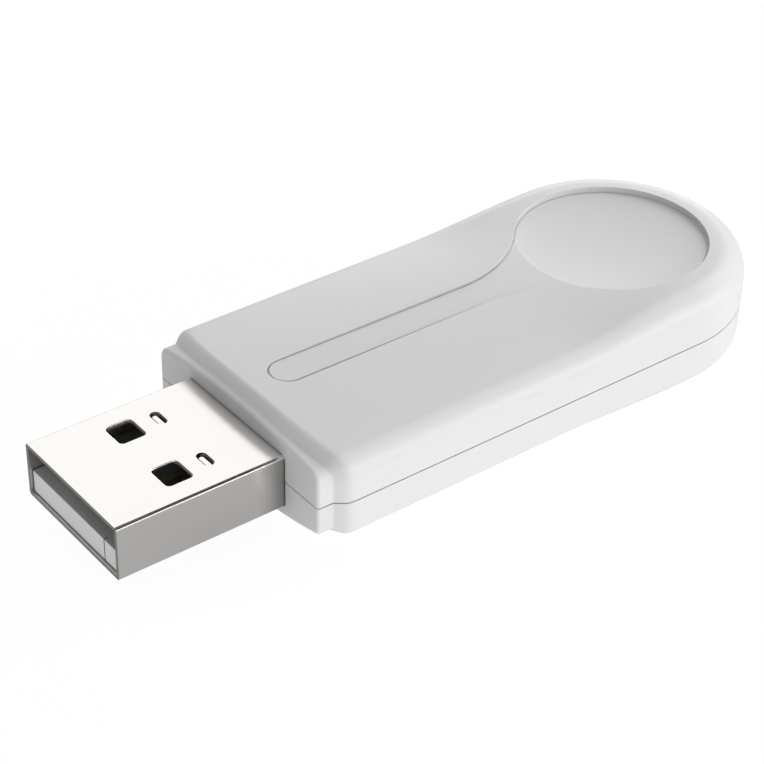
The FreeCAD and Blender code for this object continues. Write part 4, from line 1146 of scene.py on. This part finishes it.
def seen_share(tree, by_camera, by_mirror):
    """How much of the white surroundings a ray sees: one share direct, one off a mirror."""
    path = add(tree, "ShaderNodeLightPath").outputs
    direct = reckon(tree, "MULTIPLY", path["Is Camera Ray"], by_camera)
    either = reckon(tree, "MAXIMUM", path["Is Glossy Ray"], path["Is Transmission Ray"])
    fresh = reckon(tree, "LESS_THAN", path["Diffuse Depth"], 0.5)
    mirrored = reckon(tree, "MULTIPLY", either, fresh)
    return reckon(tree, "MULTIPLY_ADD", mirrored, by_mirror, direct)

# %% Floor
FLOOR_HALF_SIDE = 3.0
FLOOR_COLOUR = (0.76, 0.76, 0.76)
FLOOR_ROUGHNESS = 0.8
FLOOR_WHITE = 1.035  # as the camera sees it
FLOOR_GREY = 0.385  # as the steel mirrors it
FLOOR_LIGHT = 0.48  # as it lights the plastic
WHITE = (1.0, 1.0, 1.0)


def studio_floor():
    bm = bmesh.new()
    bmesh.ops.create_grid(bm, x_segments=1, y_segments=1, size=FLOOR_HALF_SIDE)
    floor = shown(mesh_of(bm, "studio_floor"), "studio_floor")
    material, tree, shader = new_material("pale_floor")
    path = add(tree, "ShaderNodeLightPath").outputs
    join(tree, FLOOR_COLOUR, shader.inputs["Base Color"])
    join(tree, FLOOR_ROUGHNESS, shader.inputs["Roughness"])
    join(tree, WHITE, shader.inputs["Emission Color"])
    join(tree, reckon(tree, "MULTIPLY", path["Is Diffuse Ray"], FLOOR_LIGHT),
         shader.inputs["Emission Strength"])
    white = add(tree, "ShaderNodeEmission")
    join(tree, remap(tree, path["Is Camera Ray"], 0.0, 1.0, FLOOR_GREY, FLOOR_WHITE),
         white.inputs["Strength"])
    mix = add(tree, "ShaderNodeMixShader")
    join(tree, seen_share(tree, FLOOR_SEEN, FLOOR_MIRRORED), mix.inputs[0])
    join(tree, shader.outputs[0], mix.inputs[1])
    join(tree, white.outputs[0], mix.inputs[2])
    join(tree, mix.outputs[0], tree.nodes["Material Output"].inputs["Surface"])
    floor.data.materials.append(material)


studio_floor()

# %% [markdown]
# The sky lights the plastic a little from all sides. In the mirror of the steel it is white,
# with a dark ring high up, like the frame round the light of a studio ceiling, tilted a little
# to the right. The bends of the sheet show that ring as a thin dark line beside a thin bright
# one.

# %% Sky
SKY_LIGHT = 0.235
# Heights, from the horizon at 0 to straight up at 1, and how white the sky is there.
DARK_RING = ((0.61, 1.0), (0.65, 0.02), (0.95, 0.02), (0.99, 0.85))
RING_TILT = 0.25


def studio_sky():
    world = bpy.data.worlds.new("studio_world")
    bpy.context.scene.world = world
    world.use_nodes = True
    tree = world.node_tree
    direction = axes(tree, add(tree, "ShaderNodeTexCoord").outputs["Generated"])
    ring = add(tree, "ShaderNodeValToRGB")
    while len(ring.color_ramp.elements) < len(DARK_RING):
        ring.color_ramp.elements.new(0.5)
    for element, (height, white) in zip(ring.color_ramp.elements, DARK_RING):
        element.position = height
        element.color = (white, white, white, 1.0)
    join(tree, reckon(tree, "MULTIPLY_ADD", direction["X"], RING_TILT, direction["Z"]),
         ring.inputs["Fac"])
    mirrored = reckon(tree, "MULTIPLY", seen_share(tree, 1.0, 1.0), ring.outputs["Color"])
    diffuse = add(tree, "ShaderNodeLightPath").outputs["Is Diffuse Ray"]
    background = tree.nodes["Background"]
    join(tree, WHITE, background.inputs["Color"])
    join(tree, reckon(tree, "MULTIPLY_ADD", diffuse, SKY_LIGHT, mirrored),
         background.inputs["Strength"])


studio_sky()

# %% [markdown]
# Six round soft lamps stand a metre away, most of them low and on the sides that the camera
# sees. One large lamp overhead would be simpler, but it would leave the sides of the housing
# dark. Their powers were set side by side with the photograph.

# %% Lamps
LAMP_DISTANCE = 1.0
LAMP_SIZE = 0.6
LAMP_AIM = Vector((0, 0.005, 0.004))


def soft_lamp(azimuth, elevation, power):
    """A round soft lamp aimed at the dongle; the azimuth turns from +X towards +Y."""
    light = bpy.data.lights.new("soft_lamp", "AREA")
    light.shape = "DISK"
    light.size = LAMP_SIZE
    light.energy = power
    lamp = bpy.data.objects.new("soft_lamp", light)
    azimuth, elevation = math.radians(azimuth), math.radians(elevation)
    level = LAMP_DISTANCE * math.cos(elevation)
    lamp.location = (level * math.cos(azimuth), level * math.sin(azimuth),
                     LAMP_DISTANCE * math.sin(elevation))
    lamp.rotation_euler = (LAMP_AIM - lamp.location).to_track_quat("-Z", "Y").to_euler()
    bpy.context.scene.collection.objects.link(lamp)


LAMPS = ((0, 10, 3.2), (45, 10, 3.2), (90, 40, 3.2), (135, 10, 2.3), (180, 65, 1.15),
         (270, 40, 0.5))
for azimuth, elevation, power in LAMPS:
    soft_lamp(azimuth, elevation, power)

# %% [markdown]
# ## Finish
# The view transform is Standard, so that the plastic renders at the grey it was given.

# %% View settings
bpy.context.scene.view_settings.view_transform = "Standard"
